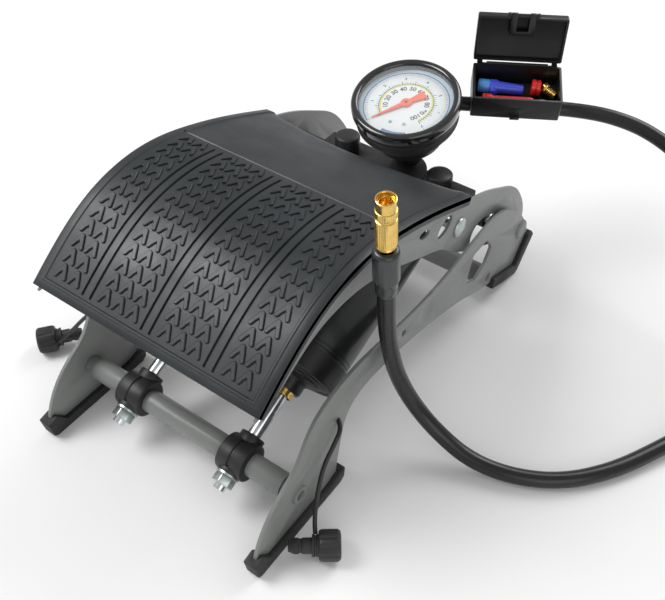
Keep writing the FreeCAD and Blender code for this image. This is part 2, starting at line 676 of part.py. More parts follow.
def adapters():
    """What the case holds: a cone nozzle, a valve adapter, a ball needle and a brass adapter."""
    floor = -case_height / 2 + case_wall
    along = ACROSS
    nozzle = revolved([(0, 0), (4.6, 0), (4.6, 9.0), (5.4, 9.0), (5.4, 13.0), (4.6, 16.0), (3.4, 34.0),
                       (0, 34.0)],
                      V(-28.0, 6.5, floor + 5.6), V(1, -0.08, 0))
    ring = tube(6.2, 3.2, 7.0, V(12.0, 6.5, floor + 6.3), V(1, -0.1, 0))
    needle = revolved([(0, 0), (3.4, 0), (3.4, 6.0), (2.2, 9.0), (2.2, 38.0), (0, 38.0)],
                      V(-25.0, -10.5, floor + 3.5), V(1, 0.0, 0))
    tip = cylinder(0.9, 10.0, V(13.0, -10.5, floor + 3.5), along)
    brass = revolved([(1.8, 0), (4.4, 0), (4.4, 5.0), (3.0, 6.0), (3.0, 13.0), (1.8, 13.0)],
                     V(25.0, 7.0, floor + 4.5), V(-0.12, -1, 0))
    return {"nozzle_adapter": in_case(nozzle), "valve_adapter": in_case(ring),
            "ball_needle_sleeve": in_case(needle), "ball_needle_tip": in_case(tip),
            "brass_adapter": in_case(brass)}


# ---- hose and its connector ---------------------------------------------------------------
hose_route = [(5.0, 331.5, 125.6), (14.5, 344.0, 125.2), (26.5, 353.4, 123.6), (40.0, 361.6, 123.9),
              (67.5, 377.4, 124.0), (94.0, 391.5, 124.2), (122.0, 397.5, 126.0), (152.0, 400.5, 122.5),
              (186.0, 396.0, 112.0), (220.0, 381.0, 93.0),
              (252.0, 357.0, 66.0), (272.0, 322.0, 38.0), (277.0, 286.0, 16.0), (270.0, 252.0, 6.8),
              (257.0, 224.0, 6.0), (240.0, 192.0, 6.0), (217.0, 165.0, 6.0), (189.0, 149.0, 6.2),
              (160.0, 142.0, 8.5), (134.0, 141.0, 20.0), (114.0, 139.0, 39.0), (102.5, 135.0, 64.0),
              (99.2, 129.0, 93.0), (99.0, 123.5, 121.0), (99.4, 120.5, 149.0), (99.9, 117.1, 181.0)]
connector_base = V(*hose_route[-1])
connector_axis = (V(*hose_route[-1]) - V(*hose_route[-2])).normalize()


def turned_on_hose(profile, start):
    return revolved(profile, connector_base + connector_axis * start, connector_axis)


def hose_cuff():
    """The shrink sleeve over the hose's end and the connector's tail."""
    taper = 2.5
    bore = hose_r + free_gap
    return turned_on_hose([(bore, -cuff_length + 6.0), (cuff_r - 0.6, -cuff_length + 6.0),
                           (cuff_r, -cuff_length + 6.0 + taper), (cuff_r, 6.0 - taper), (cuff_r - 1.0, 6.0),
                           (4.4, 6.0), (4.4, 0), (bore, 0)], 0.0)


def valve_connector():
    """The brass body that the knurled sleeve turns on."""
    top = 6.0 + connector_length
    return turned_on_hose([(0, 0), (4.4, 0), (4.4, 8.0), (4.7, 8.0), (4.7, top - 3.0),
                           (tyre_valve_r, top - 3.0), (tyre_valve_r, top - 9.0), (0, top - 9.0)], 0.0)


def connector_sleeve():
    """The knurled sleeve: a long grip, a groove, a ring and a plain lip."""
    top = 6.0 + connector_length
    bore = 4.7 + run_clearance
    waist = connector_r - 0.9
    return turned_on_hose([(bore, 8.4), (connector_r - 0.6, 8.4), (connector_r, 9.0),
                           (connector_r, top - 17.0), (waist, top - 16.0), (waist, top - 13.5),
                           (connector_r, top - 12.5),
                           (connector_r, top - 5.5), (waist, top - 4.8), (waist, top - 3.0),
                           (connector_r, top - 2.4), (connector_r - 0.3, top), (bore, top)], 0.0)


def hose_ferrule():
    """The socket on the gauge's side that the hose goes into."""
    start = V(*hose_route[0])
    direction = (V(*hose_route[1]) - start).normalize()
    outer = cylinder(hose_r + 2.2, 14.0, start - direction * 14.0, direction)
    return outer.cut(gauge_solid([(0, -housing_depth), (housing_foot_r - 3.0, -housing_depth),
                                  (housing_foot_r, -housing_depth + 3.0),
                                  (bezel_r - 5.0, -housing_depth + 17.0), (bezel_r - 2.5, -18.0),
                                  (bezel_r - 2.5, 0), (0, 0)], 0.0))


# ---- locking pins on their straps ---------------------------------------------------------
right_strap = [(half_width, 84.0, 64.0), (97.0, 81.0, 63.5), (98.5, 71.0, 58.0), (98.5, 58.5, 47.0),
               (101.5, 47.5, 27.0), (105.0, 40.5, 15.5), (109.1, 35.9, 11.5)]
left_strap = [(-half_width, 84.0, 64.0), (-98.0, 80.0, 63.5), (-108.0, 73.0, 54.0), (-122.0, 66.0, 38.0),
              (-134.0, 60.0, 21.0), (-141.0, 53.0, 12.5)]


def locking_pin(strap, direction):
    """A pin with a fluted cap and a stepped shank, lying on the ground; the strap ends on its collar."""
    end = V(*strap[-1])
    axis = V(*direction).normalize()
    centre = V(end.x, end.y, pin_cap_r)
    shoulder_r, shoulder_length = 7.0, 4.0
    across_axis = axis.cross(UP).normalize()
    toward = V(*strap[-2]) - end
    sign = 1 if toward.dot(across_axis) > 0 else -1
    centre = centre - across_axis * sign * shoulder_r
    profile = [(0, -pin_cap_length), (pin_cap_r - 1.5, -pin_cap_length), (pin_cap_r, -pin_cap_length + 1.5),
               (pin_cap_r, -1.0), (pin_cap_r - 1.0, 0), (shoulder_r, 0), (shoulder_r, shoulder_length),
               (pin_shank_r, shoulder_length), (pin_shank_r, pin_shank_length - 4.0),
               (pin_shank_r - 1.5, pin_shank_length), (0, pin_shank_length)]
    return revolved(profile, centre - axis * (shoulder_length / 2), axis)


# ---- build --------------------------------------------------------------------------------
def build():
    front_shoe = shoe([(-6.0, 15.0), (-4.0, 2.0), (-1.0, 0), (82.0, 0), (86.5, 3.0), (87.5, 12.0),
                       (70.0, 7.5), (10.0, 7.5), (2.5, 17.0)], 0.8)
    rear_shoe = shoe([(287.0, 16.0), (303.0, 9.0), (329.0, 0), (333.5, 1.0), (354.5, 26.0), (350.0, 32.0),
                      (345.0, 31.0), (329.0, 9.5), (306.0, 18.0), (290.0, 24.0)], 0.8)
    right_plate = base_plate()
    for side, name in ((1, "right"), (-1, "left")):
        flip = mirrored if side < 0 else (lambda shape: shape)
        parts["base_plate_" + name] = flip(right_plate)
        parts["front_shoe_" + name] = flip(front_shoe)
        parts["rear_shoe_" + name] = flip(rear_shoe)
        for node, maker in (("barrel_", barrel), ("barrel_head_", barrel_head), ("barrel_cap_", barrel_cap),
                            ("piston_rod_", rod), ("rod_collar_", rod_collar), ("piston_", piston)):
            parts[node + name] = maker(side)
    for node, maker in (("gland_rings", gland_ring), ("check_valves", check_valve),
                        ("piston_cups", piston_cup), ("valve_caps", valve_cap), ("link_hoses", link_hose)):
        parts[node] = Part.Compound([maker(1), maker(-1)])
    parts["rear_crossbar"] = rear_bar()
    parts["pivot_axle"] = pivot_axle()
    spacer_width = inner_face - flange_half - free_gap
    spacer_middle = flange_half + free_gap + spacer_width / 2
    parts["pivot_spacers"] = Part.Compound([
        tube(9.0, pivot_r, spacer_width, V(side * spacer_middle - spacer_width / 2, pivot_y, pivot_z), ACROSS)
        for side in (-1, 1)])
    parts["return_spring"] = return_spring()
    parts["treadle_pan"] = treadle_pan()
    parts["tread_mat"] = tread_mat()
    parts["barrel_shaft"] = barrel_shaft()
    parts["manifold_bridge"] = manifold_bridge()
    parts["bridge_bolt"] = bridge_bolt()
    parts["domed_nuts"] = Part.Compound(domed_nuts(shaft_y, shaft_z, 7.5, 3.2)
                                        + domed_nuts(bridge_y, bolt_z, 5.5, 2.8))
    parts["gauge_stem"] = gauge_stem()
    parts["gauge_housing"] = gauge_housing()
    parts["gauge_bezel"] = gauge_bezel()
    parts["gauge_dial"] = gauge_dial()
    parts["gauge_lens"] = gauge_lens()
    parts["gauge_movement"] = gauge_movement()
    parts["gauge_needle"] = gauge_needle()
    parts["crossbar"] = crossbar()
    parts["rod_nuts"] = rod_nuts()
    parts["piston_nuts"] = piston_nuts()
    parts["hose_ferrule"] = hose_ferrule()
    parts["hose"] = tube_along("hose", hose_route, hose_r)
    parts["hose_cuff"] = hose_cuff()
    parts["valve_connector"] = valve_connector()
    parts["connector_sleeve"] = connector_sleeve()
    parts["case_base"] = case_base()
    parts["case_lid"] = case_lid()
    parts["case_latch"] = case_latch()
    parts.update(adapters())
    for name, strap, direction in (("right", right_strap, (-0.8, -0.6, 0)),
                                   ("left", left_strap, (0.62, 0.78, 0))):
        parts["locking_pin_" + name] = locking_pin(strap, direction)
        lace = tube_along("strap " + name, strap, strap_r)
        parts["pin_strap_" + name] = lace.cut(parts["locking_pin_" + name])


cord_nodes = ("hose", "hose_cuff", "valve_connector", "connector_sleeve", "case_base", "case_lid",
              "case_latch", "nozzle_adapter", "valve_adapter", "ball_needle_sleeve", "ball_needle_tip",
              "brass_adapter", "locking_pin_right", "pin_strap_right", "locking_pin_left", "pin_strap_left")


def stand_middle():
    """Half way along the pump, without the hose, the straps and what is on them."""
    boxes = [shape.BoundBox for name, shape in parts.items() if name not in cord_nodes]
    return (min(b.YMin for b in boxes) + max(b.YMax for b in boxes)) / 2


def export():
    os.makedirs("parts", exist_ok=True)
    middle = stand_middle()
    print("origin at y", round(middle, 3), "of the drawing")
    for name, shape in parts.items():
        shape.translate(V(0, -middle, 0))
        shape.exportStep("parts/" + name + ".step")
        if not shape.isValid() or not shape.Solids:
            print("look at", name)
    print(len(parts), "nodes")
    for name, point in (("treadle", V(0, pivot_y, pivot_z)), ("barrels", V(0, shaft_y, shaft_z)),
                        ("crossbar", V(0, crossbar_y, crossbar_z)), ("needle", dial_centre),
                        ("lid", case_place.multVec(hinge_at)), ("latch", latch_point()),
                        ("connector", connector_base), ("case", case_place.Base)):
        print(name, "at", [round(x / 1000, 6) for x in point - V(0, middle, 0)])
    print("barrel axis", tuple(barrel_axis), "dial axis", tuple(dial_axis))
    print("connector axis", tuple(connector_axis))
    print("case hinge axis", tuple(case_place.Rotation.multVec(ACROSS)))


build()
export()
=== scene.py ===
import bpy
import json
from math import atan2, cos, pi, radians, sin
from mathutils import Matrix, Vector


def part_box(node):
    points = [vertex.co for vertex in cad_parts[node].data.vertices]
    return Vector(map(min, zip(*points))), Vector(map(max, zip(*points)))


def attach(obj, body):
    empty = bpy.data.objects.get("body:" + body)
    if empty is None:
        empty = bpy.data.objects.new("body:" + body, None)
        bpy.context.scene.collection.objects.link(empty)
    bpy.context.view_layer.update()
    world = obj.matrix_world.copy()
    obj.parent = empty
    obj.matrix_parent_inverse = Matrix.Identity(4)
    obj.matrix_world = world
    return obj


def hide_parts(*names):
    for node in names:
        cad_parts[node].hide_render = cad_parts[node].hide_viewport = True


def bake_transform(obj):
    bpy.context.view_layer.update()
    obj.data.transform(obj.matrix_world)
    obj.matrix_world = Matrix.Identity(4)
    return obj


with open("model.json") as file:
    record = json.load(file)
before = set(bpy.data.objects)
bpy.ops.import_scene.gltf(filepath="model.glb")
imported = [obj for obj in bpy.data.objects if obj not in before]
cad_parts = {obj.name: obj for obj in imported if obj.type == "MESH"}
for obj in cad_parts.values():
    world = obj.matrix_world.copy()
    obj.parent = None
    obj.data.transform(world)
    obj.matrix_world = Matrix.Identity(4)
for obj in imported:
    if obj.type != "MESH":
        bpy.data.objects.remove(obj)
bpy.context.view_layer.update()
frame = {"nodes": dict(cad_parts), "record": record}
record = frame["record"]
nodes = frame["nodes"]
bodyOf = {node: body for body, names in record["behaviour"]["bodies"].items() for node in names}
joints = {joint["name"]: joint for joint in record["behaviour"]["joints"]}
sides = {"left": -1, "right": 1}
mm = 0.001
weldGap = 0.002 * mm


# helpers: selecting, modelling, placing
def deselect():
    if bpy.context.object and bpy.context.object.mode != "OBJECT":
        bpy.ops.object.mode_set(mode="OBJECT")
    bpy.ops.object.select_all(action="DESELECT")


def pick(piece):
    deselect()
    piece.select_set(True)
    bpy.context.view_layer.objects.active = piece
    return piece


def named(name):
    piece = bpy.context.object
    piece.name = name
    piece.data.name = name
    return piece


def editAll(piece):
    pick(piece)
    bpy.ops.object.mode_set(mode="EDIT")
    bpy.ops.mesh.select_all(action="SELECT")


def cleaned(piece):  # doubles merged and faces turned outwards
    editAll(piece)
    bpy.ops.mesh.remove_doubles(threshold=weldGap)
    bpy.ops.mesh.normals_make_consistent(inside=False)
    bpy.ops.object.mode_set(mode="OBJECT")
    return piece


def applied(piece):
    pick(piece)
    for modifier in list(piece.modifiers):
        bpy.ops.object.modifier_apply(modifier=modifier.name)
    return piece


def smooth(piece, angle=35):
    pick(piece)
    bpy.ops.object.shade_smooth_by_angle(angle=radians(angle))
    return piece


def bevelled(piece, width, segments=2, angle=35):
    bevel = piece.modifiers.new("edges", "BEVEL")
    bevel.width = width
    bevel.segments = segments
    bevel.limit_method = "ANGLE"
    bevel.angle_limit = radians(angle)
    applied(piece)
    return smooth(piece, angle)


def joined(name, pieces):
    deselect()
    for piece in pieces:
        piece.select_set(True)
    bpy.context.view_layer.objects.active = pieces[0]
    if len(pieces) > 1:
        bpy.ops.object.join()
    return named(name)


def moved(piece, matrix):  # the place goes into the mesh
    pick(piece)
    piece.matrix_world = matrix @ piece.matrix_world
    bpy.ops.object.transform_apply(location=True, rotation=True, scale=True)
    return piece


def alongAxis(base, axis):  # turns a shape's own z onto an axis
    lift = Vector((0, 0, 1)).rotation_difference(Vector(axis)).to_matrix().to_4x4()
    return Matrix.Translation(Vector(base)) @ lift


def copied(piece, matrix):  # a copy with its own mesh
    twin = piece.copy()
    twin.data = piece.data.copy()
    bpy.context.collection.objects.link(twin)
    return moved(twin, matrix)


def inMm(*points):  # outline points given in millimetres
    return [(across * mm, along * mm) for across, along in points]


def arcPoints(middle, radius, start, end, count):
    return [(middle[0] + radius * cos(radians(start + (end - start) * k / count)),
             middle[1] + radius * sin(radians(start + (end - start) * k / count))) for k in range(count + 1)]


def turned(name, outline, steps=64):  # radius and height pairs, spun about z
    deselect()
    bpy.ops.mesh.primitive_plane_add(size=0.01)
    piece = named(name)
    editAll(piece)
    bpy.ops.mesh.merge(type="CENTER")
    bpy.ops.transform.translate(value=(outline[0][0], 0, outline[0][1]))
    for (r0, z0), (r1, z1) in zip(outline, outline[1:]):
        bpy.ops.mesh.extrude_vertices_move(TRANSFORM_OT_translate={"value": (r1 - r0, 0, z1 - z0)})
    bpy.ops.mesh.select_all(action="SELECT")
    bpy.ops.mesh.spin(steps=steps, angle=2 * pi, center=(0, 0, 0), axis=(0, 0, 1))
    bpy.ops.object.mode_set(mode="OBJECT")
    cleaned(piece)
    return smooth(piece)


def block(name, size, middle=(0, 0, 0)):
    deselect()
    bpy.ops.mesh.primitive_cube_add(size=1, location=middle, scale=size)
    piece = named(name)
    bpy.ops.object.transform_apply(location=True, rotation=True, scale=True)
    return piece


def rod(name, radius, start, end):
    start, end = Vector(start), Vector(end)
    deselect()
    bpy.ops.mesh.primitive_cylinder_add(vertices=32, radius=radius, depth=(end - start).length)
    return moved(named(name), alongAxis((start + end) / 2, end - start))


def extruded(piece, rise):
    editAll(piece)
    bpy.ops.mesh.extrude_region_move(TRANSFORM_OT_translate={"value": (0, 0, rise)})
    bpy.ops.object.mode_set(mode="OBJECT")
    return piece


def flatPlate(name, outline, thick, low=0.0):  # an outline in millimetres, raised to its thickness
    deselect()
    bpy.ops.mesh.primitive_circle_add(vertices=len(outline), radius=0.005, fill_type="NGON")
    piece = named(name)
    for vertex, (x, y) in zip(piece.data.vertices, outline):
        vertex.co = (x * mm, y * mm, low)
    return cleaned(extruded(piece, thick))


def nurbsLine(name, points, steps):
    data = bpy.data.curves.new(name, "CURVE")
    data.dimensions = "3D"
    data.resolution_u = steps
    line = data.splines.new("NURBS")
    line.points.add(len(points) - 1)
    for point, place in zip(line.points, points):
        point.co = (*place, 1)
    line.order_u = 3
    line.use_endpoint_u = True
    curve = bpy.data.objects.new(name, data)
    bpy.context.collection.objects.link(curve)
    return curve


def roundBar(curve, radius, sides):
    curve.data.bevel_depth = radius
    curve.data.bevel_resolution = sides
    curve.data.use_fill_caps = True
    pick(curve)
    bpy.ops.object.convert(target="MESH")
    return cleaned(curve)


def finished(piece, material, replaces=()):
    piece.data.materials.clear()
    piece.data.materials.append(material)
    if replaces:
        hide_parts(*replaces)
    return piece


def fit(piece, body, material, replaces=()):  # a finished piece that rides on one body
    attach(piece, body)
    return finished(piece, material, replaces)


def eased(node, width, material):  # a copy of a CAD node with its sharp edges taken off
    piece = nodes[node].copy()
    piece.data = piece.data.copy()
    piece.parent = None
    piece.matrix_world = Matrix.Identity(4)
    bpy.context.collection.objects.link(piece)
    piece.name = node + "Eased"
    piece.data.name = piece.name
    editAll(piece)
    bpy.ops.mesh.remove_doubles(threshold=weldGap)
    bpy.ops.mesh.dissolve_limited(angle_limit=radians(1.0))
    bpy.ops.object.mode_set(mode="OBJECT")
    bpy.ops.mesh.customdata_custom_splitnormals_clear()
    bevelled(piece, width, 2, 40)
    return fit(piece, bodyOf[node], material, [node])


# materials
def newMaterial(name, colour, roughness, metallic=0.0):
    made = bpy.data.materials.new(name)
    made.use_nodes = True
    shader = made.node_tree.nodes["Principled BSDF"]
    shader.inputs["Base Color"].default_value = (*colour, 1)
    shader.inputs["Roughness"].default_value = roughness
    shader.inputs["Metallic"].default_value = metallic
    return made


def noiseOf(made, scale, detail=3.0, stretch=None):
    tree = made.node_tree
    place = tree.nodes.new("ShaderNodeTexCoord")
    noise = tree.nodes.new("ShaderNodeTexNoise")
    noise.inputs["Scale"].default_value = scale
    noise.inputs["Detail"].default_value = detail
    source = place.outputs["Object"]
    if stretch:
        mapping = tree.nodes.new("ShaderNodeMapping")
        mapping.inputs["Scale"].default_value = stretch
        tree.links.new(source, mapping.inputs["Vector"])
        source = mapping.outputs["Vector"]
    tree.links.new(source, noise.inputs["Vector"])
    return noise.outputs["Fac"]


def twoTone(made, scale, first, second, low=0.35, high=0.65):  # colour drifts between two tones
    tree = made.node_tree
    ramp = tree.nodes.new("ShaderNodeValToRGB")
    ramp.color_ramp.elements[0].position = low
    ramp.color_ramp.elements[0].color = (*first, 1)
    ramp.color_ramp.elements[1].position = high
    ramp.color_ramp.elements[1].color = (*second, 1)
    tree.links.new(noiseOf(made, scale), ramp.inputs["Fac"])
    tree.links.new(ramp.outputs["Color"], tree.nodes["Principled BSDF"].inputs["Base Color"])
    return made


def unevenGloss(made, scale, low, high, stretch=None):
    tree = made.node_tree
    spread = tree.nodes.new("ShaderNodeMapRange")
    spread.inputs["From Min"].default_value = 0.3
    spread.inputs["From Max"].default_value = 0.7
    spread.inputs["To Min"].default_value = low
    spread.inputs["To Max"].default_value = high
    tree.links.new(noiseOf(made, scale, 4.0, stretch), spread.inputs["Value"])
    tree.links.new(spread.outputs["Result"], tree.nodes["Principled BSDF"].inputs["Roughness"])
    return made


def grained(made, scale, strength, depth, stretch=None):
    tree = made.node_tree
    bump = tree.nodes.new("ShaderNodeBump")
    bump.inputs["Strength"].default_value = strength
    bump.inputs["Distance"].default_value = depth
    tree.links.new(noiseOf(made, scale, 2.0, stretch), bump.inputs["Height"])
    tree.links.new(bump.outputs["Normal"], tree.nodes["Principled BSDF"].inputs["Normal"])
    return made


def paintedSteel():  # grey powder coat with a fine orange peel
    made = newMaterial("paintedSteel", (0.17, 0.178, 0.172), 0.4)
    twoTone(made, 14, (0.186, 0.194, 0.188), (0.204, 0.212, 0.204))
    unevenGloss(made, 60, 0.42, 0.50)
    grained(made, 1400, 0.12, 0.0002)
    made.node_tree.nodes["Principled BSDF"].inputs["Coat Weight"].default_value = 0.15
    return made


def rubber(name, dark, light, low, high, scale=900, strength=0.25):
    made = newMaterial(name, dark, low)
    twoTone(made, 30, dark, light)
    unevenGloss(made, 45, low, high)
    return grained(made, scale, strength, 0.0002)


def plastic(name, dark, light, low, high, coat=0.0, scale=1200, strength=0.15):
    made = newMaterial(name, dark, low)
    twoTone(made, 25, dark, light)
    unevenGloss(made, 55, low, high)
    grained(made, scale, strength, 0.00015)
    made.node_tree.nodes["Principled BSDF"].inputs["Coat Weight"].default_value = coat
    made.node_tree.nodes["Principled BSDF"].inputs["Coat Roughness"].default_value = 0.06
    return made


def metal(name, dark, light, low, high, stretch=(1, 1, 8)):
    made = newMaterial(name, dark, low, 1.0)
    twoTone(made, 90, dark, light, 0.3, 0.7)
    unevenGloss(made, 160, low, high, stretch)
    return grained(made, 700, 0.08, 0.0001, stretch)


def glass():
    made = newMaterial("gaugeLens", (0.9, 0.96, 0.97), 0.03)
    shader = made.node_tree.nodes["Principled BSDF"]
    shader.inputs["Alpha"].default_value = 0.1
    shader.inputs["IOR"].default_value = 1.5
    return unevenGloss(made, 30, 0.02, 0.06)


paint = {
    "steel": paintedSteel(),
    "mat": rubber("treadRubber", (0.011, 0.014, 0.016), (0.019, 0.023, 0.026), 0.36, 0.50, 700, 0.2),
    "foot": rubber("footRubber", (0.012, 0.012, 0.012), (0.022, 0.022, 0.022), 0.55, 0.75),
    "barrel": plastic("barrelPaint", (0.012, 0.013, 0.014), (0.020, 0.021, 0.022), 0.30, 0.42, 0.25),
    "cap": plastic("capPlastic", (0.006, 0.006, 0.007), (0.012, 0.012, 0.013), 0.34, 0.48),
    "chrome": metal("chromeRod", (0.62, 0.64, 0.66), (0.74, 0.76, 0.78), 0.10, 0.22),
    "zinc": metal("zincPlate", (0.40, 0.47, 0.46), (0.58, 0.62, 0.60), 0.24, 0.42),
    "plastic": plastic("blackPlastic", (0.012, 0.012, 0.012), (0.022, 0.022, 0.022), 0.38, 0.55),
    "case": plastic("caseGloss", (0.002, 0.002, 0.002), (0.004, 0.004, 0.004), 0.30, 0.42),
    "sky": plastic("skyPlastic", (0.05, 0.22, 0.60), (0.08, 0.28, 0.68), 0.3, 0.42, 0.4),
    "bezel": plastic("bezelGloss", (0.006, 0.006, 0.006), (0.010, 0.010, 0.011), 0.12, 0.22, 0.8),
    "cup": rubber("cupRubber", (0.012, 0.012, 0.013), (0.020, 0.020, 0.021), 0.38, 0.52),
    "dial": plastic("dialWhite", (0.74, 0.76, 0.77), (0.82, 0.83, 0.83), 0.4, 0.5, 0.2, 300, 0.05),
    "lens": glass(),
    "needle": plastic("needleRed", (0.80, 0.08, 0.015), (0.88, 0.12, 0.025), 0.35, 0.45),
    "brass": metal("turnedBrass", (0.72, 0.47, 0.12), (0.86, 0.62, 0.22), 0.16, 0.3),
    "hose": rubber("hoseRubber", (0.004, 0.004, 0.005), (0.009, 0.009, 0.010), 0.22, 0.34, 1500, 0.12),
    "cuff": plastic("shrinkSleeve", (0.012, 0.014, 0.016), (0.024, 0.027, 0.030), 0.25, 0.4, 0.4, 400, 0.3),
    "blue": plastic("blueNozzle", (0.02, 0.05, 0.50), (0.05, 0.07, 0.62), 0.3, 0.42, 0.4),
    "red": plastic("redPlastic", (0.50, 0.008, 0.008), (0.62, 0.015, 0.012), 0.2, 0.32, 0.6),
    "spring": metal("springSteel", (0.16, 0.16, 0.17), (0.26, 0.26, 0.27), 0.3, 0.45),
    "seal": rubber("sealRubber", (0.015, 0.015, 0.015), (0.03, 0.03, 0.03), 0.4, 0.6),
    "strap": plastic("strapPlastic", (0.010, 0.010, 0.010), (0.018, 0.018, 0.018), 0.35, 0.5),
    "inkBlack": plastic("dialInkBlack", (0.02, 0.02, 0.02), (0.04, 0.04, 0.04), 0.45, 0.55),
    "inkBlue": plastic("dialInkBlue", (0.02, 0.13, 0.33), (0.03, 0.17, 0.40), 0.45, 0.55),
    "inkSky": plastic("dialInkSky", (0.42, 0.66, 0.86), (0.50, 0.72, 0.90), 0.45, 0.55),
    "inkYellow": plastic("dialInkYellow", (0.62, 0.60, 0.12), (0.70, 0.67, 0.18), 0.45, 0.55),
}
print("materials", len(paint))


# camera
cameraSet = {
    "place": (0.2863, -0.3664, 0.5138),
    "turn": 35.72,      # degrees about the vertical
    "lookDown": 45.54,
    "lens": 48.75,
}


def addCamera():
    deselect()
    bpy.ops.object.camera_add(location=cameraSet["place"])
    camera = bpy.context.object
    camera.rotation_euler = (radians(90 - cameraSet["lookDown"]), 0, radians(cameraSet["turn"]))
    camera.data.lens = cameraSet["lens"]
    camera.data.sensor_width = 36
    camera.data.clip_start = 0.01
    bpy.context.scene.camera = camera


addCamera()


# cords: the hose and the two straps, their points measured from the front feet
drawingMiddle = 0.174191  # from the front feet to the origin
hoseSet = {
    "radius": 0.0056,
    "route": [(0.0050, 0.3315, 0.1256), (0.0145, 0.3440, 0.1252), (0.0265, 0.3534, 0.1236),
              (0.0400, 0.3616, 0.1239), (0.0675, 0.3774, 0.1240), (0.0940, 0.3915, 0.1242),
              (0.1220, 0.3975, 0.1260), (0.1520, 0.4005, 0.1225), (0.1860, 0.3960, 0.1120),
              (0.2200, 0.3810, 0.0930), (0.2520, 0.3570, 0.0660), (0.2720, 0.3220, 0.0380),
              (0.2770, 0.2860, 0.0160), (0.2700, 0.2520, 0.0068), (0.2570, 0.2240, 0.0060),
              (0.2400, 0.1920, 0.0060), (0.2170, 0.1650, 0.0060), (0.1890, 0.1490, 0.0062),
              (0.1600, 0.1420, 0.0085), (0.1340, 0.1410, 0.0200), (0.1140, 0.1390, 0.0390),
              (0.1025, 0.1350, 0.0640), (0.0992, 0.1290, 0.0930), (0.0990, 0.1235, 0.1210),
              (0.0994, 0.1205, 0.1490), (0.0999, 0.1171, 0.1810)],
}
strapSet = {
    "radius": 0.0015,
    "right": [(0.0920, 0.0840, 0.0640), (0.0970, 0.0810, 0.0635), (0.0985, 0.0710, 0.0580),
              (0.0985, 0.0585, 0.0470), (0.1015, 0.0475, 0.0270), (0.1050, 0.0405, 0.0155),
              (0.1091, 0.0359, 0.0115)],
    "left": [(-0.0920, 0.0840, 0.0640), (-0.0980, 0.0800, 0.0635), (-0.1080, 0.0730, 0.0540),
             (-0.1220, 0.0660, 0.0380), (-0.1340, 0.0600, 0.0210), (-0.1410, 0.0530, 0.0125)],
}


def fromFeet(point):  # a route point, moved to the origin's place
    return Vector((point[0], point[1] - drawingMiddle, point[2]))


def cordCurve(name, route):
    return nurbsLine(name, [fromFeet(point) for point in route], 10)


def lineOf(curve):  # the points that the smooth line passes through
    bpy.context.view_layer.update()
    mesh = bpy.data.meshes.new_from_object(curve.evaluated_get(bpy.context.evaluated_depsgraph_get()))
    points = [vertex.co.copy() for vertex in mesh.vertices]
    bpy.data.meshes.remove(mesh)
    return points


def lengthOf(points):
    return sum((b - a).length for a, b in zip(points, points[1:]))


def makeHose():
    curve = cordCurve("airHose", hoseSet["route"])
    line = lineOf(curve)
    hose = roundBar(curve, hoseSet["radius"], 6)
    finished(smooth(hose, 60), paint["hose"], ["hose"])
    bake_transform(hose)
    return line


def makeStrap(side):
    curve = cordCurve("pinStrap" + side.capitalize(), strapSet[side])
    line = lineOf(curve)
    strap = roundBar(curve, strapSet["radius"], 3)
    smooth(strap, 60)
    fit(strap, "base", paint["strap"], ["pin_strap_" + side])


hoseLine = makeHose()
for side in sides:
    makeStrap(side)
print("cords", round(lengthOf(hoseLine), 3))


# tread mat: curved slab, border, grooves and arrowheads
matSet = {
    "thick": 4.5 * mm,
    "lipDrop": 7.5 * mm,
    "frontMargin": 9 * mm,
    "patternEnd": 0.146,   # along the mat, where the plain rear part begins
    "rows": 13,
    "bands": (2, 3, 3, 2),
    "columnStep": 11.1 * mm,
    "bandGap": 14 * mm,
    "groove": 2.0 * mm,
    "grooveDeep": 1.3 * mm,
    "arrowHigh": 1.2 * mm,
    "scoop": 17 * mm,      # how far the rear edge curves in
    "rimDrop": 0.5 * mm,
    "bead": 6.2 * mm,      # middle of the raised border, in from the edge
    "beadHigh": 0.7 * mm,
    "seamDeep": 0.6 * mm,  # step between the pattern and the plain part
}


def upperLine():  # the mat's top, seen from the side, from the front edge to the rear
    low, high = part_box("tread_mat")
    found = sorted({(round(v.co.y, 6), round(v.co.z, 6)) for v in nodes["tread_mat"].data.vertices
                    if high.x - v.co.x < 0.0001})
    hull = []
    for point in found:
        while len(hull) > 1 and ((hull[-1][0] - hull[-2][0]) * (point[1] - hull[-2][1])
                                 - (hull[-1][1] - hull[-2][1]) * (point[0] - hull[-2][0])) >= 0:
            hull.pop()
        hull.append(point)
    return [Vector((0, y, z)) for y, z in hull]


matLine = upperLine()
matRuns = [0.0]
for a, b in zip(matLine, matLine[1:]):
    matRuns.append(matRuns[-1] + (b - a).length)
matLength = matRuns[-1]


def onMat(point):  # across, along, above -> the place on the curved mat
    across, along, above = point
    index = 0
    while index < len(matRuns) - 2 and matRuns[index + 1] < along:
        index += 1
    share = (along - matRuns[index]) / (matRuns[index + 1] - matRuns[index])
    base = matLine[index].lerp(matLine[index + 1], share)
    before = matLine[index + 1] - matLine[index]
    lower = matLine[max(index - 1, 0) + 1] - matLine[max(index - 1, 0)]
    upper = matLine[min(index + 2, len(matLine) - 1)] - matLine[min(index + 1, len(matLine) - 2)]
    nearby = (before + lower.lerp(upper, share)).normalized()
    return Vector((across, base.y - nearby.z * above, base.z + nearby.y * above))


def bentOntoMat(piece):
    for vertex in piece.data.vertices:
        vertex.co = onMat(vertex.co)
    return piece


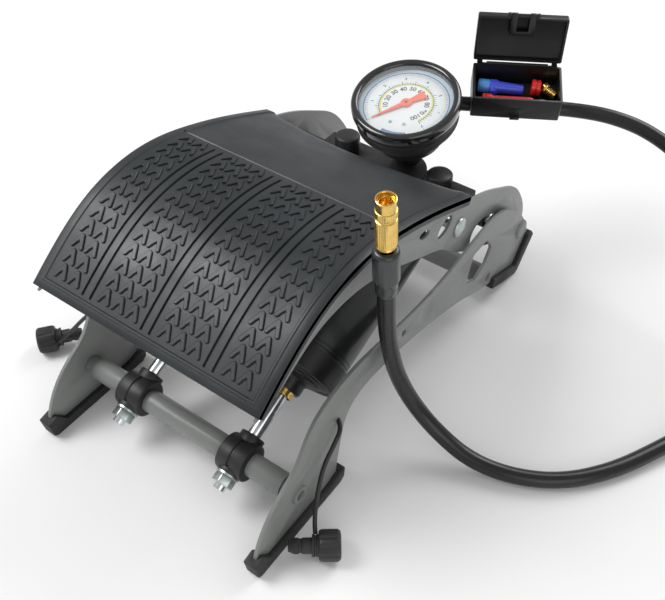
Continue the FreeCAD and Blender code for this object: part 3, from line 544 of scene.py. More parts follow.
def columnPlaces():
    places, grooves = [], []
    total = sum(matSet["bands"]) * matSet["columnStep"] + 3 * matSet["bandGap"]
    across = -total / 2
    for number, count in enumerate(matSet["bands"]):
        for column in range(count):
            places.append(across + (column + 0.5) * matSet["columnStep"])
        across += count * matSet["columnStep"]
        if number < 3:
            grooves += [across + matSet["bandGap"] * 0.27, across + matSet["bandGap"] * 0.73]
        across += matSet["bandGap"]
    return places, grooves


def matSlab(half, grooves):
    edge, step = matSet["groove"], matSet["grooveDeep"]
    acrossLines = {-half, half, -half + 1.2 * mm, half - 1.2 * mm}
    bead = [matSet["bead"] + offset * mm for offset in (-1.2, -0.6, 0.6, 1.2)]
    for side in (-1, 1):
        acrossLines |= {side * (half - place) for place in bead}
    for middle in grooves:
        acrossLines |= {middle - edge / 2, middle - edge / 4, middle + edge / 4, middle + edge / 2}
    acrossLines |= {half * k / 14 for k in range(-13, 14)}
    acrossLines = sorted(acrossLines)
    front, rear = matSet["frontMargin"], matSet["patternEnd"]
    alongLines = {0.0, 1.2 * mm, rear, rear + 0.5 * mm, rear + 1.3 * mm, rear + 1.8 * mm}
    alongLines |= set(bead)
    alongLines |= {front, front + 0.6 * mm, rear - 4 * mm, rear - 3.4 * mm}
    alongLines |= {front + (rear - front) * k / 44 for k in range(1, 44)}
    alongLines |= {rear + 4 * mm + (matLength - rear - 4 * mm) * k / 24 for k in range(25)}
    alongLines = sorted(alongLines)
    deselect()
    bpy.ops.mesh.primitive_grid_add(x_subdivisions=len(acrossLines) - 1, y_subdivisions=len(alongLines) - 1,
                                    size=2)
    slab = named("treadMat")
    inset = half - matSet["bead"]
    for vertex in slab.data.vertices:
        column = round((vertex.co.x + 1) / 2 * (len(acrossLines) - 1))
        row = round((vertex.co.y + 1) / 2 * (len(alongLines) - 1))
        across, along = acrossLines[column], alongLines[row]
        height = 0.0
        if abs(across) > half - 1.0 * mm or along < 1.0 * mm:
            height = -matSet["rimDrop"]
        nearSide = abs(abs(across) - inset) < 0.7 * mm and along > 5.5 * mm
        nearFront = abs(along - matSet["bead"]) < 0.7 * mm and abs(across) < half - 5.5 * mm
        if nearSide or nearFront:
            height = matSet["beadHigh"]
        inGroove = any(abs(across - middle) < edge * 0.3 for middle in grooves)
        if inGroove and front < along < rear - 3.5 * mm:
            height = -step
        if rear + 0.4 * mm < along < rear + 1.4 * mm and abs(across) < inset:
            height = -matSet["seamDeep"]
        if along > rear + 3 * mm:
            end = matLength
            if abs(across) < half - 10 * mm:
                radius = (half ** 2 + matSet["scoop"] ** 2) / (2 * matSet["scoop"])
                end = matLength - matSet["scoop"] + radius - (radius ** 2 - across ** 2) ** 0.5
            plain = rear + 3 * mm
            along = plain + (along - plain) * (end - plain) / (matLength - plain)
            if end - along < 0.5 * mm:
                height = -matSet["rimDrop"]
        vertex.co = (across, along, height)
    extruded(slab, -matSet["thick"] + 0.6 * mm)
    for vertex in slab.data.vertices:
        if vertex.select:
            vertex.co.z = -matSet["thick"] + 0.1 * mm
    return cleaned(slab)


def matLip(side, half):  # the rubber edge turned down over the steel
    deselect()
    bpy.ops.mesh.primitive_grid_add(x_subdivisions=1, y_subdivisions=60, size=2)
    lip = named("matLip")
    for vertex in lip.data.vertices:
        across = side * (half - (1 + vertex.co.x) * 0.9 * mm)
        vertex.co = (across, (1 + vertex.co.y) / 2 * matLength, -1.0 * mm)
    return cleaned(extruded(lip, 1.0 * mm - matSet["lipDrop"]))


def arrowhead():  # one raised chevron that points to the rear
    outline = [(0, 5.2), (-1.3, 4.5), (-3.1, 0.9), (-5.0, -3.5), (-4.8, -4.7), (-3.5, -5.1), (-2.5, -4.3),
               (-1.3, -1.5), (0, 0.3), (1.3, -1.5), (2.5, -4.3), (3.5, -5.1), (4.8, -4.7), (5.0, -3.5),
               (3.1, 0.9), (1.3, 4.5)]
    arrow = flatPlate("arrowhead", outline, 0.3 * mm + matSet["arrowHigh"], -0.3 * mm)
    return bevelled(arrow, 0.45 * mm, 1, 60)


def makeMat():
    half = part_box("tread_mat")[1].x
    columns, grooves = columnPlaces()
    slab = matSlab(half, grooves)
    pieces = [slab, matLip(-1, half), matLip(1, half)]
    arrow = arrowhead()
    first = matSet["frontMargin"] + 6.5 * mm
    rowStep = (matSet["patternEnd"] - 6.5 * mm - first) / (matSet["rows"] - 1)
    for across in columns:
        for row in range(matSet["rows"]):
            pieces.append(copied(arrow, Matrix.Translation((across, first + row * rowStep, 0))))
    bpy.data.objects.remove(arrow)
    mat = joined("treadMat", pieces)
    bentOntoMat(mat)
    smooth(mat, 30)
    fit(mat, "treadle", paint["mat"], ["tread_mat"])


makeMat()
print("tread mat", round(matLength, 4))


# gauge
gaugeSet = {
    "bezel": 40 * mm,
    "dial": 34.2 * mm,
    "deep": 41 * mm,
    "foot": 26 * mm,
    "turn": 13,        # degrees the dial is turned about its own axis
    "faceDrop": 7.0 * mm,
    "sweep": 270,
}
needleJoint = joints["needle_swing"]
gaugePlace = alongAxis(needleJoint["pos_m"], needleJoint["axis"])
dialPlace = gaugePlace @ Matrix.Rotation(radians(gaugeSet["turn"]), 4, "Z")


def makeBezel():
    rim, inner, lap = gaugeSet["bezel"], gaugeSet["dial"], gaugeSet["bezel"] - 2.5 * mm
    outline = [(lap, -4.0 * mm), (inner, -4.0 * mm), (inner, -2.8 * mm)]
    outline += arcPoints((inner + 2.4 * mm, -2.6 * mm), 2.4 * mm, 170, 100, 7)
    outline += arcPoints((rim - 2.8 * mm, -2.8 * mm), 2.8 * mm, 90, 0, 8)
    outline += [(rim, -7.0 * mm), (rim - 0.3 * mm, -8.4 * mm), (rim - 0.8 * mm, -9.0 * mm), (lap, -9.0 * mm),
                (lap, -4.0 * mm)]
    bezel = turned("gaugeBezel", outline, 128)
    fit(moved(bezel, gaugePlace), "treadle", paint["bezel"], ["gauge_bezel"])


def makeCup():  # rubber boot with two rolled bands and a soft shoulder
    rim, foot, deep = gaugeSet["bezel"] - 2.6 * mm, gaugeSet["foot"], gaugeSet["deep"]
    inner = rim - 2.3 * mm
    outline = [(0, -deep), (foot - 3 * mm, -deep)]
    outline += arcPoints((foot - 2.6 * mm, -deep + 2.6 * mm), 2.6 * mm, -90, -20, 5)
    outline += [(foot + 1.8 * mm, -deep + 8.0 * mm), (foot + 4.0 * mm, -deep + 11.5 * mm)]
    outline += arcPoints((foot + 5.2 * mm, -deep + 14.0 * mm), 1.6 * mm, -100, 40, 6)
    outline += [(foot + 7.0 * mm, -deep + 17.0 * mm), (rim - 2.6 * mm, -deep + 19.0 * mm)]
    outline += arcPoints((rim - 1.4 * mm, -19.2 * mm), 1.9 * mm, -100, 30, 7)
    outline += [(rim - 0.4 * mm, -16.6 * mm), (rim - 0.6 * mm, -15.2 * mm)]
    outline += arcPoints((rim - 1.2 * mm, -13.2 * mm), 1.7 * mm, -60, 20, 5)
    outline += [(rim, -11.4 * mm), (rim, -4.05 * mm), (inner, -4.05 * mm), (inner, -14 * mm),
                (foot - 5 * mm, -deep + 4 * mm), (0, -deep + 4 * mm)]
    cup = turned("gaugeCup", outline, 128)
    fit(moved(cup, gaugePlace), "treadle", paint["cup"], ["gauge_housing"])


def dialPiece(piece, ink):
    fit(moved(piece, dialPlace), "treadle", paint[ink])


def scaleTurn(step, count):  # where a step of the scale stands, clockwise from zero
    return radians(90 + gaugeSet["sweep"] / 2 - gaugeSet["sweep"] * step / count)


def arcStrip(name, inner, outer, start, end, height, steps=96):  # a flat printed arc
    deselect()
    bpy.ops.mesh.primitive_grid_add(x_subdivisions=steps, y_subdivisions=1, size=2)
    strip = named(name)
    for vertex in strip.data.vertices:
        turn = radians(start + (end - start) * (vertex.co.x + 1) / 2)
        radius = inner + (outer - inner) * (1 - vertex.co.y) / 2
        vertex.co = (radius * cos(turn), radius * sin(turn), height)
    return cleaned(extruded(strip, 0.03 * mm))


def tickRing(name, count, inner, outer, width, height, longEvery=0, longer=0.0):
    pieces = []
    for k in range(count + 1):
        reach = longer if longEvery and k % longEvery == 0 else 0.0
        size = (outer - inner + reach, width * (1.6 if reach else 1), 0.04 * mm)
        tick = block(name, size, ((inner + outer + reach) / 2, 0, height))
        pieces.append(moved(tick, Matrix.Rotation(scaleTurn(k, count), 4, "Z")))
    return joined(name, pieces)


def numberRing(name, values, top, radius, size, height):
    pieces = []
    for value in values:
        deselect()
        bpy.ops.object.text_add()
        label = bpy.context.object
        label.data.body = str(value)
        label.data.size = size
        label.data.align_x = "CENTER"
        label.data.align_y = "CENTER"
        label.data.extrude = 0.02 * mm
        label.data.offset = 0.14 * mm
        bpy.ops.object.convert(target="MESH")
        turn = scaleTurn(value, top)
        place = Matrix.Translation((radius * cos(turn), radius * sin(turn), height))
        pieces.append(moved(label, place @ Matrix.Rotation(turn - pi / 2, 4, "Z")))
    return joined(name, pieces)


def makeDial():
    face, dial = -gaugeSet["faceDrop"], gaugeSet["dial"]
    inkTop, low, rim = face + 0.02 * mm, face - 1.0 * mm, dial + 0.8 * mm
    outline = [(3.0 * mm, low), (rim, low), (rim, face - 0.2 * mm), (dial + 0.4 * mm, face), (3.0 * mm, face),
               (3.0 * mm, low)]
    plate = turned("gaugeDialPlate", outline, 128)
    fit(moved(plate, gaugePlace), "treadle", paint["dial"], ["gauge_dial"])
    dialPiece(arcStrip("dialSkyBand", dial - 1.9 * mm, dial - 0.3 * mm, 360, 0, face), "inkSky")
    dialPiece(arcStrip("dialBlueArc", dial - 3.4 * mm, dial - 2.5 * mm, 225, -20, face + 0.04 * mm),
              "inkBlue")
    dialPiece(tickRing("dialBlueTicks", 80, dial - 6.0 * mm, dial - 3.2 * mm, 0.26 * mm, face + 0.05 * mm, 10,
                       0.3 * mm), "inkBlue")
    dialPiece(arcStrip("dialYellowRing", 18.4 * mm, 19.7 * mm, 225, -45, face), "inkYellow")
    dialPiece(arcStrip("dialRingEdge", 19.7 * mm, 20.2 * mm, 225, -45, face), "inkBlack")
    dialPiece(tickRing("dialBlackTicks", 50, 20.0 * mm, 21.8 * mm, 0.34 * mm, inkTop, 5, 0.9 * mm),
              "inkBlack")
    dialPiece(numberRing("dialNumbers", range(10, 101, 10), 100, 15.0 * mm, 5.2 * mm, inkTop), "inkBlack")
    dialPiece(numberRing("dialOuterNumbers", range(1, 8), 7, 25.2 * mm, 3.4 * mm, inkTop), "inkBlue")
    dialPiece(arcStrip("dialLabel", dial - 6.2 * mm, dial - 1.2 * mm, 252, 288, inkTop, 24), "inkBlue")
    for side in (-1, 1):
        screw = turned("dialScrew", inMm((0, 0.9), (0.9, 0.8), (1.3, 0.4), (1.35, 0), (0, 0)), 24)
        screw = joined("dialScrew", [screw, block("slot", (2.0 * mm, 0.25 * mm, 0.1 * mm), (0, 0, 0.9 * mm))])
        moved(screw, dialPlace @ Matrix.Translation((side * 5.2 * mm, -19.5 * mm, face)))
        fit(screw, "treadle", paint["zinc"])


def makeNeedle():
    tip, tail = 28.0, 15.5
    outline = [(0.35, tip), (-0.35, tip), (-0.9, 16.0), (-1.9, 3.2), (-1.9, -3.2), (-3.6, -tail + 1.4),
               (-2.6, -tail), (2.6, -tail), (3.6, -tail + 1.4), (1.9, -3.2), (1.9, 3.2), (0.9, 16.0)]
    blade = bevelled(flatPlate("gaugeNeedleBlade", outline, 0.7 * mm), 0.12 * mm)
    hub = turned("hub", inMm((1.1, -0.2), (3.9, -0.2), (3.9, 0.9), (3.3, 1.3), (1.2, 1.35), (1.1, -0.2)), 32)
    needle = joined("gaugeNeedle", [blade, hub])
    zero = radians(gaugeSet["sweep"] / 2 + gaugeSet["turn"])
    moved(needle, gaugePlace @ Matrix.Translation((0, 0, -6.2 * mm)) @ Matrix.Rotation(zero, 4, "Z"))
    fit(needle, "needle", paint["needle"], ["gauge_needle"])


def makeLens():  # slightly domed
    reach = gaugeSet["dial"] - 0.2 * mm
    outline = [(0, -3.2 * mm), (reach, -3.2 * mm), (reach, -2.4 * mm), (reach * 0.8, -2.0 * mm),
               (reach * 0.4, -1.85 * mm), (0, -1.8 * mm)]
    lens = turned("gaugeLensDome", outline, 96)
    fit(moved(lens, gaugePlace), "treadle", paint["lens"], ["gauge_lens"])


makeBezel()
makeCup()
makeDial()
makeNeedle()
makeLens()
print("gauge done")


# hose end: brass connector and shrink sleeve
connectorSet = {
    "outer": 6.2 * mm,
    "top": 44 * mm,
    "bore": 4.75 * mm,
    "teeth": 36,
    "knurlDeep": 0.3 * mm,
    "cuff": 8.0,       # millimetres, as are the next two
    "cuffBore": 6.0,
    "cuffLong": 30,
}
connectorJoint = joints["connector_turn"]
connectorPlace = alongAxis(connectorJoint["pos_m"], connectorJoint["axis"])


def knurled(piece, low, high, depth, teeth):  # straight grooves between two heights
    for vertex in piece.data.vertices:
        radius = (vertex.co.x ** 2 + vertex.co.y ** 2) ** 0.5
        if low < vertex.co.z < high and radius > connectorSet["outer"] - 0.3 * mm:
            turn = atan2(vertex.co.y, vertex.co.x)
            share = 1 - depth / radius * (round(turn / (pi / teeth)) % 2)
            vertex.co.x *= share
            vertex.co.y *= share
    return piece


def makeSleeve():
    outer, top, bore = connectorSet["outer"], connectorSet["top"], connectorSet["bore"]
    lip, ring, grip = top - 7.5 * mm, top - 13.0 * mm, 11.0 * mm
    waist, edge = outer - 0.9 * mm, outer - 0.1 * mm
    outline = [(bore, 8.4 * mm)] + inMm((5.2, 8.4), (5.7, 9.0), (5.1, 9.8), (5.6, 10.4))
    outline += [(edge, grip), (outer, grip + 0.5 * mm), (outer, ring - 2.0 * mm), (edge, ring - 1.5 * mm),
                (waist, ring - 1.1 * mm), (waist, ring), (edge, ring + 0.3 * mm), (outer, ring + 0.7 * mm),
                (outer, lip - 0.7 * mm), (outer - 0.2 * mm, lip - 0.2 * mm), (5.6 * mm, lip),
                (5.6 * mm, top - 1.4 * mm), (5.9 * mm, top - 0.9 * mm), (5.8 * mm, top - 0.2 * mm),
                (5.4 * mm, top), (5.0 * mm, top), (bore, top - 0.5 * mm), (bore, 8.4 * mm)]
    sleeve = turned("connectorSleeve", outline, 2 * connectorSet["teeth"])
    knurled(sleeve, grip + 0.2 * mm, lip - 0.3 * mm, connectorSet["knurlDeep"], connectorSet["teeth"])
    smooth(sleeve, 25)
    fit(moved(sleeve, connectorPlace), "sleeve", paint["brass"], ["connector_sleeve"])


def makeCuff():
    r, bore, long = connectorSet["cuff"], connectorSet["cuffBore"], connectorSet["cuffLong"]
    outline = inMm((4.75, 5.9), (5.4, 6.0), (6.6, 5.6), (7.6, 4.6), (r - 0.1, 3.0), (r, 0.5), (r - 0.15, -6),
                   (r, -13), (r - 0.1, -17.5), (r - 0.8, -18.3), (6.9, -19), (6.75, -24), (6.6, -29.2),
                   (6.2, -long), (bore, -long), (bore, -0.2), (4.75, -0.2), (4.75, 5.9))
    cuff = turned("shrinkCuff", outline, 64)
    fit(moved(cuff, connectorPlace), "base", paint["cuff"], ["hose_cuff"])


makeSleeve()
makeCuff()
print("connector done")


# barrels, caps and rods
barrelSet = {
    "radius": 28 * mm,
    "wall": 2.5 * mm,
    "start": 68 * mm,
    "length": 118 * mm,
    "spread": 44.4 * mm,
    "skirt": 14 * mm,
    "boss": 10.5 * mm,
    "hole": 6.65 * mm,
    "gland": -20.5 * mm,   # below the barrel's lower end
}
collarSet = {"radius": 13 * mm, "bore": 8.02 * mm, "half": 10.5 * mm, "boss": 8.6 * mm}
crossbarAt = Vector(joints["crossbar_turn"]["pos_m"])
shaftAt = Vector(joints["barrel_swing"]["pos_m"])
barrelAxis = (shaftAt - crossbarAt).normalized()


def barrelPlace(side, along):
    middle = crossbarAt + Vector((sides[side] * barrelSet["spread"], 0, 0))
    return alongAxis(middle + barrelAxis * along, barrelAxis)


def makeBarrel(side):
    r, inner, length = barrelSet["radius"], barrelSet["radius"] - barrelSet["wall"], barrelSet["length"]
    outline = [(inner, 0), (r, 0)]
    for groove in (15.5 * mm, 18.5 * mm):  # two fine lines near the lower end
        deep = r - 0.5 * mm
        outline += [(r, groove - 0.6 * mm), (deep, groove - 0.3 * mm), (deep, groove + 0.3 * mm),
                    (r, groove + 0.6 * mm)]
    outline += [(r, length - 0.8 * mm), (r - 0.8 * mm, length), (inner, length), (inner, 0)]
    tube = turned("barrelTube" + side.capitalize(), outline, 96)
    fit(moved(tube, barrelPlace(side, barrelSet["start"])), "barrels", paint["barrel"],
        ["barrel_" + side])


def makeCap(side):  # skirt, stepped face and boss
    r, skirt = barrelSet["radius"], barrelSet["skirt"]
    outer, boss, hole = r + 1.2 * mm, barrelSet["boss"], barrelSet["hole"]
    inside = r + 0.02 * mm
    outline = [(inside, skirt), (outer - 0.3 * mm, skirt), (outer, skirt - 0.4 * mm), (outer, -1.6 * mm)]
    outline += arcPoints((outer - 1.6 * mm, -1.5 * mm), 1.6 * mm, 0, -80, 5)
    faceSteps = ((3.4, -3.1), (3.8, -2.4), (5.6, -2.8), (6.0, -3.6), (7.2, -3.9), (7.6, -3.4), (10.2, -4.4),
                 (10.6, -5.2), (12.0, -5.6))  # in from the rim, and height
    outline += [(outer - inward * mm, height * mm) for inward, height in faceSteps]
    outline += [(boss + 2.2 * mm, -6.6 * mm), (boss + 0.6 * mm, -8.0 * mm), (boss, -9.0 * mm),
                (boss, -14.6 * mm), (boss - 0.9 * mm, -15.9 * mm), (hole, -16 * mm), (hole, 0), (inside, 0),
                (inside, skirt)]
    cap = turned("barrelCap" + side.capitalize(), outline, 96)
    fit(moved(cap, barrelPlace(side, barrelSet["start"])), "barrels", paint["cap"],
        ["barrel_cap_" + side])


def makeGland():
    outline = inMm((6.65, 0), (7.0, 0), (7.5, 0.4), (7.5, 1.4), (7.0, 1.8), (7.0, 2.4), (7.5, 2.8), (7.5, 4.5),
                   (6.65, 4.5), (6.65, 0))
    pieces = []
    for side in sides:
        ring = turned("gland", outline, 48)
        pieces.append(moved(ring, barrelPlace(side, barrelSet["start"] + barrelSet["gland"])))
    fit(joined("glandRings", pieces), "barrels", paint["brass"], ["gland_rings"])


def makeCollar(side):  # saddle with a groove round its middle and a boss for the rod
    centre = crossbarAt + Vector((sides[side] * barrelSet["spread"], 0, 0))
    r, inner, half, boss = collarSet["radius"], collarSet["bore"], collarSet["half"], collarSet["boss"]
    outline = [(inner, -half), (r - 1.6 * mm, -half), (r - 0.4 * mm, -half + 0.5 * mm), (r, -half + 1.6 * mm),
               (r, -1.3 * mm), (r - 0.9 * mm, -0.7 * mm), (r - 0.9 * mm, 0.7 * mm), (r, 1.3 * mm),
               (r, half - 1.6 * mm), (r - 0.4 * mm, half - 0.5 * mm), (r - 1.6 * mm, half), (inner, half),
               (inner, -half)]
    pieces = [moved(turned("saddle", outline, 64), alongAxis(centre, (1, 0, 0)))]
    for start, end in ((9.4 * mm, 16 * mm), (-13 * mm, -9.4 * mm)):
        stub = rod("boss", boss, centre + barrelAxis * start, centre + barrelAxis * end)
        pieces.append(bevelled(stub, 0.8 * mm))
    collar = smooth(joined("rodCollar" + side.capitalize(), pieces))
    fit(collar, "crank", paint["plastic"], ["rod_collar_" + side])


def nutShape(name, flats, height, hole):  # hexagon with chamfered corners
    deselect()
    bpy.ops.mesh.primitive_cylinder_add(vertices=6, radius=flats / 2 / cos(pi / 6), depth=height)
    hexagon = named(name)
    bevelled(hexagon, 0.7 * mm, 2, 50)
    reach, top = flats / 2 - 0.6 * mm, height / 2 + 0.02 * mm
    face = turned("face", [(hole, -top), (reach, -top), (reach, top), (hole, top)], 32)
    return joined(name, [hexagon, face])


def threadRings(name, radius, start, end, pitch):
    outline = [(0, start)]
    height = start
    while height < end - pitch:
        outline += [(radius - 0.45 * mm, height), (radius, height + pitch * 0.4),
                    (radius, height + pitch * 0.6)]
        height += pitch
    outline += [(radius - 0.5 * mm, height), (0, height)]
    return turned(name, outline, 32)


def makeRodNuts():
    pieces = []
    for side in sides:
        washer = turned("washer", inMm((4.1, -14.5), (7.6, -14.5), (8, -14.2), (8, -13.0), (4.1, -13.0),
                                       (4.1, -14.5)), 32)
        nut = moved(nutShape("nut", 13 * mm, 6.4 * mm, 4.1 * mm), Matrix.Translation((0, 0, -17.75 * mm)))
        thread = threadRings("thread", 4.0 * mm, -24.4 * mm, -20.9 * mm, 1.0 * mm)
        for piece in (washer, nut, thread):
            pieces.append(moved(piece, barrelPlace(side, 0)))
    fit(joined("rodNutSet", pieces), "crank", paint["zinc"], ["rod_nuts"])


for side in sides:
    makeBarrel(side)
    makeCap(side)
    makeCollar(side)
makeGland()
makeRodNuts()
print("barrels done")


# link hoses from the heads to the bridge
linkSet = {"radius": 4 * mm, "lug": 11 * mm, "height": 84.5 * mm}


def makeLinks():
    low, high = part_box("manifold_bridge")
    front = (low.y + high.y) / 2 - 17 * mm
    pieces = []
    for side in sides:
        across = sides[side] * barrelSet["spread"]
        finish = Vector((across, front + 0.4 * mm, linkSet["height"]))
        knee = finish - Vector((0, 9 * mm, 0))
        head = Vector((across, shaftAt.y, shaftAt.z))
        start = head + (knee - head).normalized() * (linkSet["lug"] - 1.5 * mm)
        curve = nurbsLine("link", (start, start.lerp(knee, 0.5), knee, finish), 12)
        pieces.append(roundBar(curve, linkSet["radius"], 5))
        clamp = turned("clamp", inMm((4.05, -3), (5.0, -3), (5.2, -2.6), (5.2, -0.4), (5.0, 0), (4.05, 0),
                                     (4.05, -3)), 32)
        pieces.append(moved(clamp, alongAxis(finish - Vector((0, 0.5 * mm, 0)), (0, 1, 0))))
    links = smooth(joined("linkHoses", pieces), 50)
    finished(links, paint["hose"], ["link_hoses"])
    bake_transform(links)


makeLinks()


# return spring: wound coils with straight legs
springSet = {"wire": 1.3 * mm, "coil": 7.4 * mm, "turns": 6, "spread": 40 * mm, "long": 16 * mm}


def makeSpring():
    pivot = Vector(joints["treadle_press"]["pos_m"])
    barLow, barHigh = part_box("rear_crossbar")
    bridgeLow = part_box("manifold_bridge")[0]
    pieces = []
    for side in (-1, 1):
        points = []
        left = side * springSet["spread"] - springSet["long"] / 2
        barY = (barLow.y + barHigh.y) / 2
        points.append(Vector((left, barY + 10 * mm, barHigh.z - 7 * mm)))
        count = springSet["turns"] * 12
        for k in range(count + 1):
            turn = -pi / 2 - 2 * pi * k / 12
            across = left + springSet["long"] * k / count
            points.append(Vector((across, pivot.y + springSet["coil"] * cos(turn),
                                  pivot.z + springSet["coil"] * sin(turn))))
        points.append(Vector((left + springSet["long"], pivot.y - 30 * mm, bridgeLow.z - 1.5 * mm)))
        pieces.append(roundBar(nurbsLine("coil", points, 3), springSet["wire"], 2))
    spring = smooth(joined("returnSprings", pieces), 60)
    finished(spring, paint["spring"], ["return_spring"])
    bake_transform(spring)


makeSpring()
print("springs and link hoses done")


# what the case holds
caseSet = {
    "turn": 30,            # degrees about the vertical
    "tip": 14,             # degrees about its long side
    "place": (55 * mm, 366 * mm - drawingMiddle, 139 * mm),
    "floor": -7.7 * mm,
    "nozzle": (-28 * mm, 6.5 * mm, 5.6 * mm),   # along, across, above the floor
    "branch": (-16.5 * mm, 2.6 * mm, 7.0 * mm),
    "valveAdapter": (12 * mm, 6.5 * mm, 6.3 * mm),
    "ballNeedle": (-25 * mm, -6.6 * mm, 6.2 * mm),
    "brassAdapter": (21 * mm, 8.5 * mm, 5.5 * mm),
}
casePlace = (Matrix.Translation(caseSet["place"]) @ Matrix.Rotation(radians(caseSet["turn"]), 4, "Z")
             @ Matrix.Rotation(radians(caseSet["tip"]), 4, "X"))


def inCase(piece, spot, axis):  # laid at its spot in the case's own frame
    along, across, above = caseSet[spot]
    return moved(piece, alongAxis((along, across, caseSet["floor"] + above), axis))


def makeNozzle():  # blue cone with a lighter foot and a short branch
    axis = (1, -0.08, 0)
    foot = turned("nozzleFoot", inMm((0, 0), (4.9, 0), (5.2, 0.5), (5.2, 8.2), (4.8, 8.8), (0, 8.8)), 48)
    fit(moved(inCase(foot, "nozzle", axis), casePlace), "treadle", paint["sky"])
    outline = inMm((0, 8.6), (4.4, 8.6), (5.6, 9.2), (5.6, 13.4), (4.8, 15.5), (4.6, 16.5), (3.7, 33.4),
                   (3.3, 34), (1.8, 34), (1.8, 28), (0, 28))
    cone = inCase(turned("cone", outline, 48), "nozzle", axis)
    branch = turned("branch", inMm((0, 0), (2.6, 0), (2.6, 4.2), (2.2, 4.6), (0, 4.6)), 32)
    nozzle = joined("nozzleAdapter", [cone, inCase(branch, "branch", (0, -1, 0.05))])
    fit(moved(nozzle, casePlace), "treadle", paint["blue"], ["nozzle_adapter"])


def makeValveAdapter():  # red stepped ring
    outline = inMm((3.2, 0), (5.4, 0), (6.2, 0.6), (6.2, 3.0), (5.5, 3.4), (5.5, 4.2), (6.0, 4.6), (6.0, 6.4),
                   (5.4, 7), (3.2, 7), (3.2, 0))
    ring = inCase(turned("valveAdapter", outline, 48), "valveAdapter", (1, -0.1, 0))
    fit(moved(ring, casePlace), "treadle", paint["red"], ["valve_adapter"])


def makeBallNeedle():
    outline = inMm((0, 0), (2.9, 0), (3.4, 0.5), (3.4, 2.4), (3.0, 2.8), (3.4, 3.2), (3.4, 6), (2.3, 8.6),
                   (2.2, 9), (2.2, 36.5), (1.6, 38), (0, 38))
    sleeve = inCase(turned("ballNeedleSleeve", outline, 40), "ballNeedle", (1, 0, 0))
    fit(moved(sleeve, casePlace), "treadle", paint["red"], ["ball_needle_sleeve"])
    tip = turned("ballNeedleTip", inMm((0, 37.9), (0.9, 38.0), (0.9, 46.6), (0.5, 48), (0, 48)), 24)
    tip = inCase(tip, "ballNeedle", (1, 0, 0))
    fit(moved(tip, casePlace), "treadle", paint["zinc"], ["ball_needle_tip"])


def makeBrassAdapter():  # hexagon with a ridged thread
    hexagon = moved(nutShape("hexagon", 7.6 * mm, 5 * mm, 1.8 * mm), Matrix.Translation((0, 0, 2.5 * mm)))
    outline = [(1.8, 4.9)]
    height = 5.0
    while height < 12.4:
        outline += [(2.6, height), (3.0, height + 0.35), (3.0, height + 0.55)]
        height += 0.9
    outline += [(2.5, 13), (1.8, 13), (1.8, 4.9)]
    adapter = joined("brassAdapter", [hexagon, turned("thread", inMm(*outline), 32)])
    inCase(adapter, "brassAdapter", (0.72, -0.69, 0))
    fit(moved(adapter, casePlace), "treadle", paint["brass"], ["brass_adapter"])


makeNozzle()
makeValveAdapter()
makeBallNeedle()
makeBrassAdapter()
print("adapters done")


# locking pins: fluted caps on stepped shanks
pinSet = {"cap": 10 * mm, "capLong": 14 * mm, "flutes": 10, "fluteDeep": 0.07,
          "right": (-0.8, -0.6, 0), "left": (0.62, 0.78, 0)}  # each pin's direction


def makePin(side):
    route = strapSet[side]
    end, before = fromFeet(route[-1]), fromFeet(route[-2])
    axis = Vector(pinSet[side]).normalized()
    sideways = axis.cross(Vector((0, 0, 1))).normalized()
    way = 1 if (before - end).dot(sideways) > 0 else -1
    centre = Vector((end.x, end.y, pinSet["cap"])) - sideways * way * 7 * mm
    cap, long = pinSet["cap"], pinSet["capLong"]
    outline = [(0, -long), (cap - 3.0 * mm, -long), (cap - 1.2 * mm, -long + 0.5 * mm),
               (cap - 0.1 * mm, -long + 2.0 * mm), (cap - 0.1 * mm, -2.0 * mm), (cap - 0.6 * mm, -0.6 * mm),
               (cap - 1.4 * mm, 0)]
    outline += inMm((7.0, 0), (7.0, 1.2), (6.4, 1.6), (6.4, 2.4), (7.0, 2.8), (7.0, 4.0), (5.0, 4.2), (5.0, 10),
                    (4.4, 10.6), (4.4, 12), (5.0, 12.6), (5.0, 15), (3.5, 19), (0, 19))
    pin = turned("lockingPin" + side.capitalize(), outline, pinSet["flutes"] * 8)
    for vertex in pin.data.vertices:
        radius = (vertex.co.x ** 2 + vertex.co.y ** 2) ** 0.5
        if radius > 7.5 * mm and vertex.co.z < -1.0 * mm:
            turn = atan2(vertex.co.y, vertex.co.x)
            share = 1 - pinSet["fluteDeep"] * max(0.0, cos(pinSet["flutes"] * turn)) ** 2
            vertex.co.x *= share
            vertex.co.y *= share
    smooth(pin, 40)
    moved(pin, alongAxis(centre - axis * 2 * mm, axis))
    fit(pin, "base", paint["plastic"], ["locking_pin_" + side])


for side in sides:
    makePin(side)
print("locking pins done")


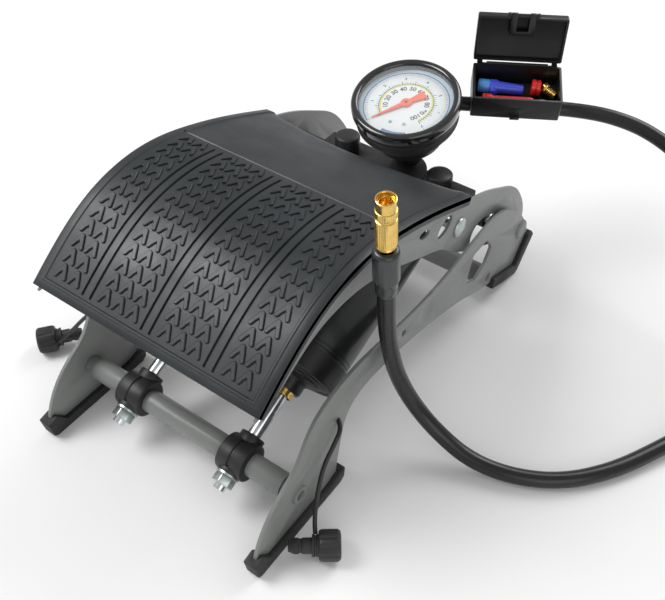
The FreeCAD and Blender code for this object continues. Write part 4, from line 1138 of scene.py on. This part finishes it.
# CAD pieces with their edges eased
easedSet = {  # finish: nodes with the width of their bevel in millimetres
    "steel": (("pivot_axle", 0.5), ("base_plate_left", 0.35), ("base_plate_right", 0.35), ("treadle_pan", 0.3),
              ("rear_crossbar", 0.3), ("crossbar", 0.4)),
    "foot": (("front_shoe_left", 0.7), ("front_shoe_right", 0.7), ("rear_shoe_left", 0.7),
             ("rear_shoe_right", 0.7)),
    "zinc": (("barrel_shaft", 0.3), ("domed_nuts", 0.4), ("bridge_bolt", 0.3), ("piston_nuts", 0.4)),
    "case": (("case_base", 0.35), ("case_lid", 0.35), ("case_latch", 0.3)),
    "plastic": (("manifold_bridge", 0.6), ("valve_caps", 0.6), ("pivot_spacers", 0.4), ("hose_ferrule", 0.7),
                ("piston_left", 0.3), ("piston_right", 0.3), ("gauge_movement", 0.3)),
    "barrel": (("barrel_head_left", 0.7), ("barrel_head_right", 0.7)),
    "brass": (("valve_connector", 0.15),),
    "cup": (("gauge_stem", 0.4),),
    "chrome": (("piston_rod_left", 0.4), ("piston_rod_right", 0.4)),
    "seal": (("check_valves", 0.3), ("piston_cups", 0.3)),
}
for finish, wanted in easedSet.items():
    for node, width in wanted:
        eased(node, width * mm, paint[finish])
print("eased pieces done")


# floor and light
stageSet = {
    "floor": 6.0,
    "world": 0.5,
    "aim": (0, 0, 0.05),
    "lights": (("keyLight", (-0.9, -0.5, 1.3), 0.8, 17), ("fillLight", (1.3, -0.9, 0.8), 1.2, 5),
               ("backLight", (0.3, 1.3, 1.2), 1.0, 12)),  # name, place, size, power
}


def areaLight(name, place, size, power):
    deselect()
    bpy.ops.object.light_add(type="AREA", location=place)
    light = bpy.context.object
    light.name = name
    light.data.size = size
    light.data.energy = power
    light.rotation_euler = (Vector(stageSet["aim"]) - Vector(place)).to_track_quat("-Z", "Y").to_euler()


def makeStage():
    deselect()
    bpy.ops.mesh.primitive_plane_add(size=stageSet["floor"])
    floor = named("studioFloor")
    ground = newMaterial("paleFloor", (0.86, 0.86, 0.86), 0.7)
    twoTone(ground, 3, (0.85, 0.85, 0.85), (0.88, 0.88, 0.88))
    floor.data.materials.append(ground)
    world = bpy.data.worlds.new("studio")
    world.use_nodes = True
    world.node_tree.nodes["Background"].inputs["Color"].default_value = (1, 1, 1, 1)
    world.node_tree.nodes["Background"].inputs["Strength"].default_value = stageSet["world"]
    bpy.context.scene.world = world
    bpy.context.scene.view_settings.view_transform = "Standard"
    for light in stageSet["lights"]:
        areaLight(*light)


makeStage()
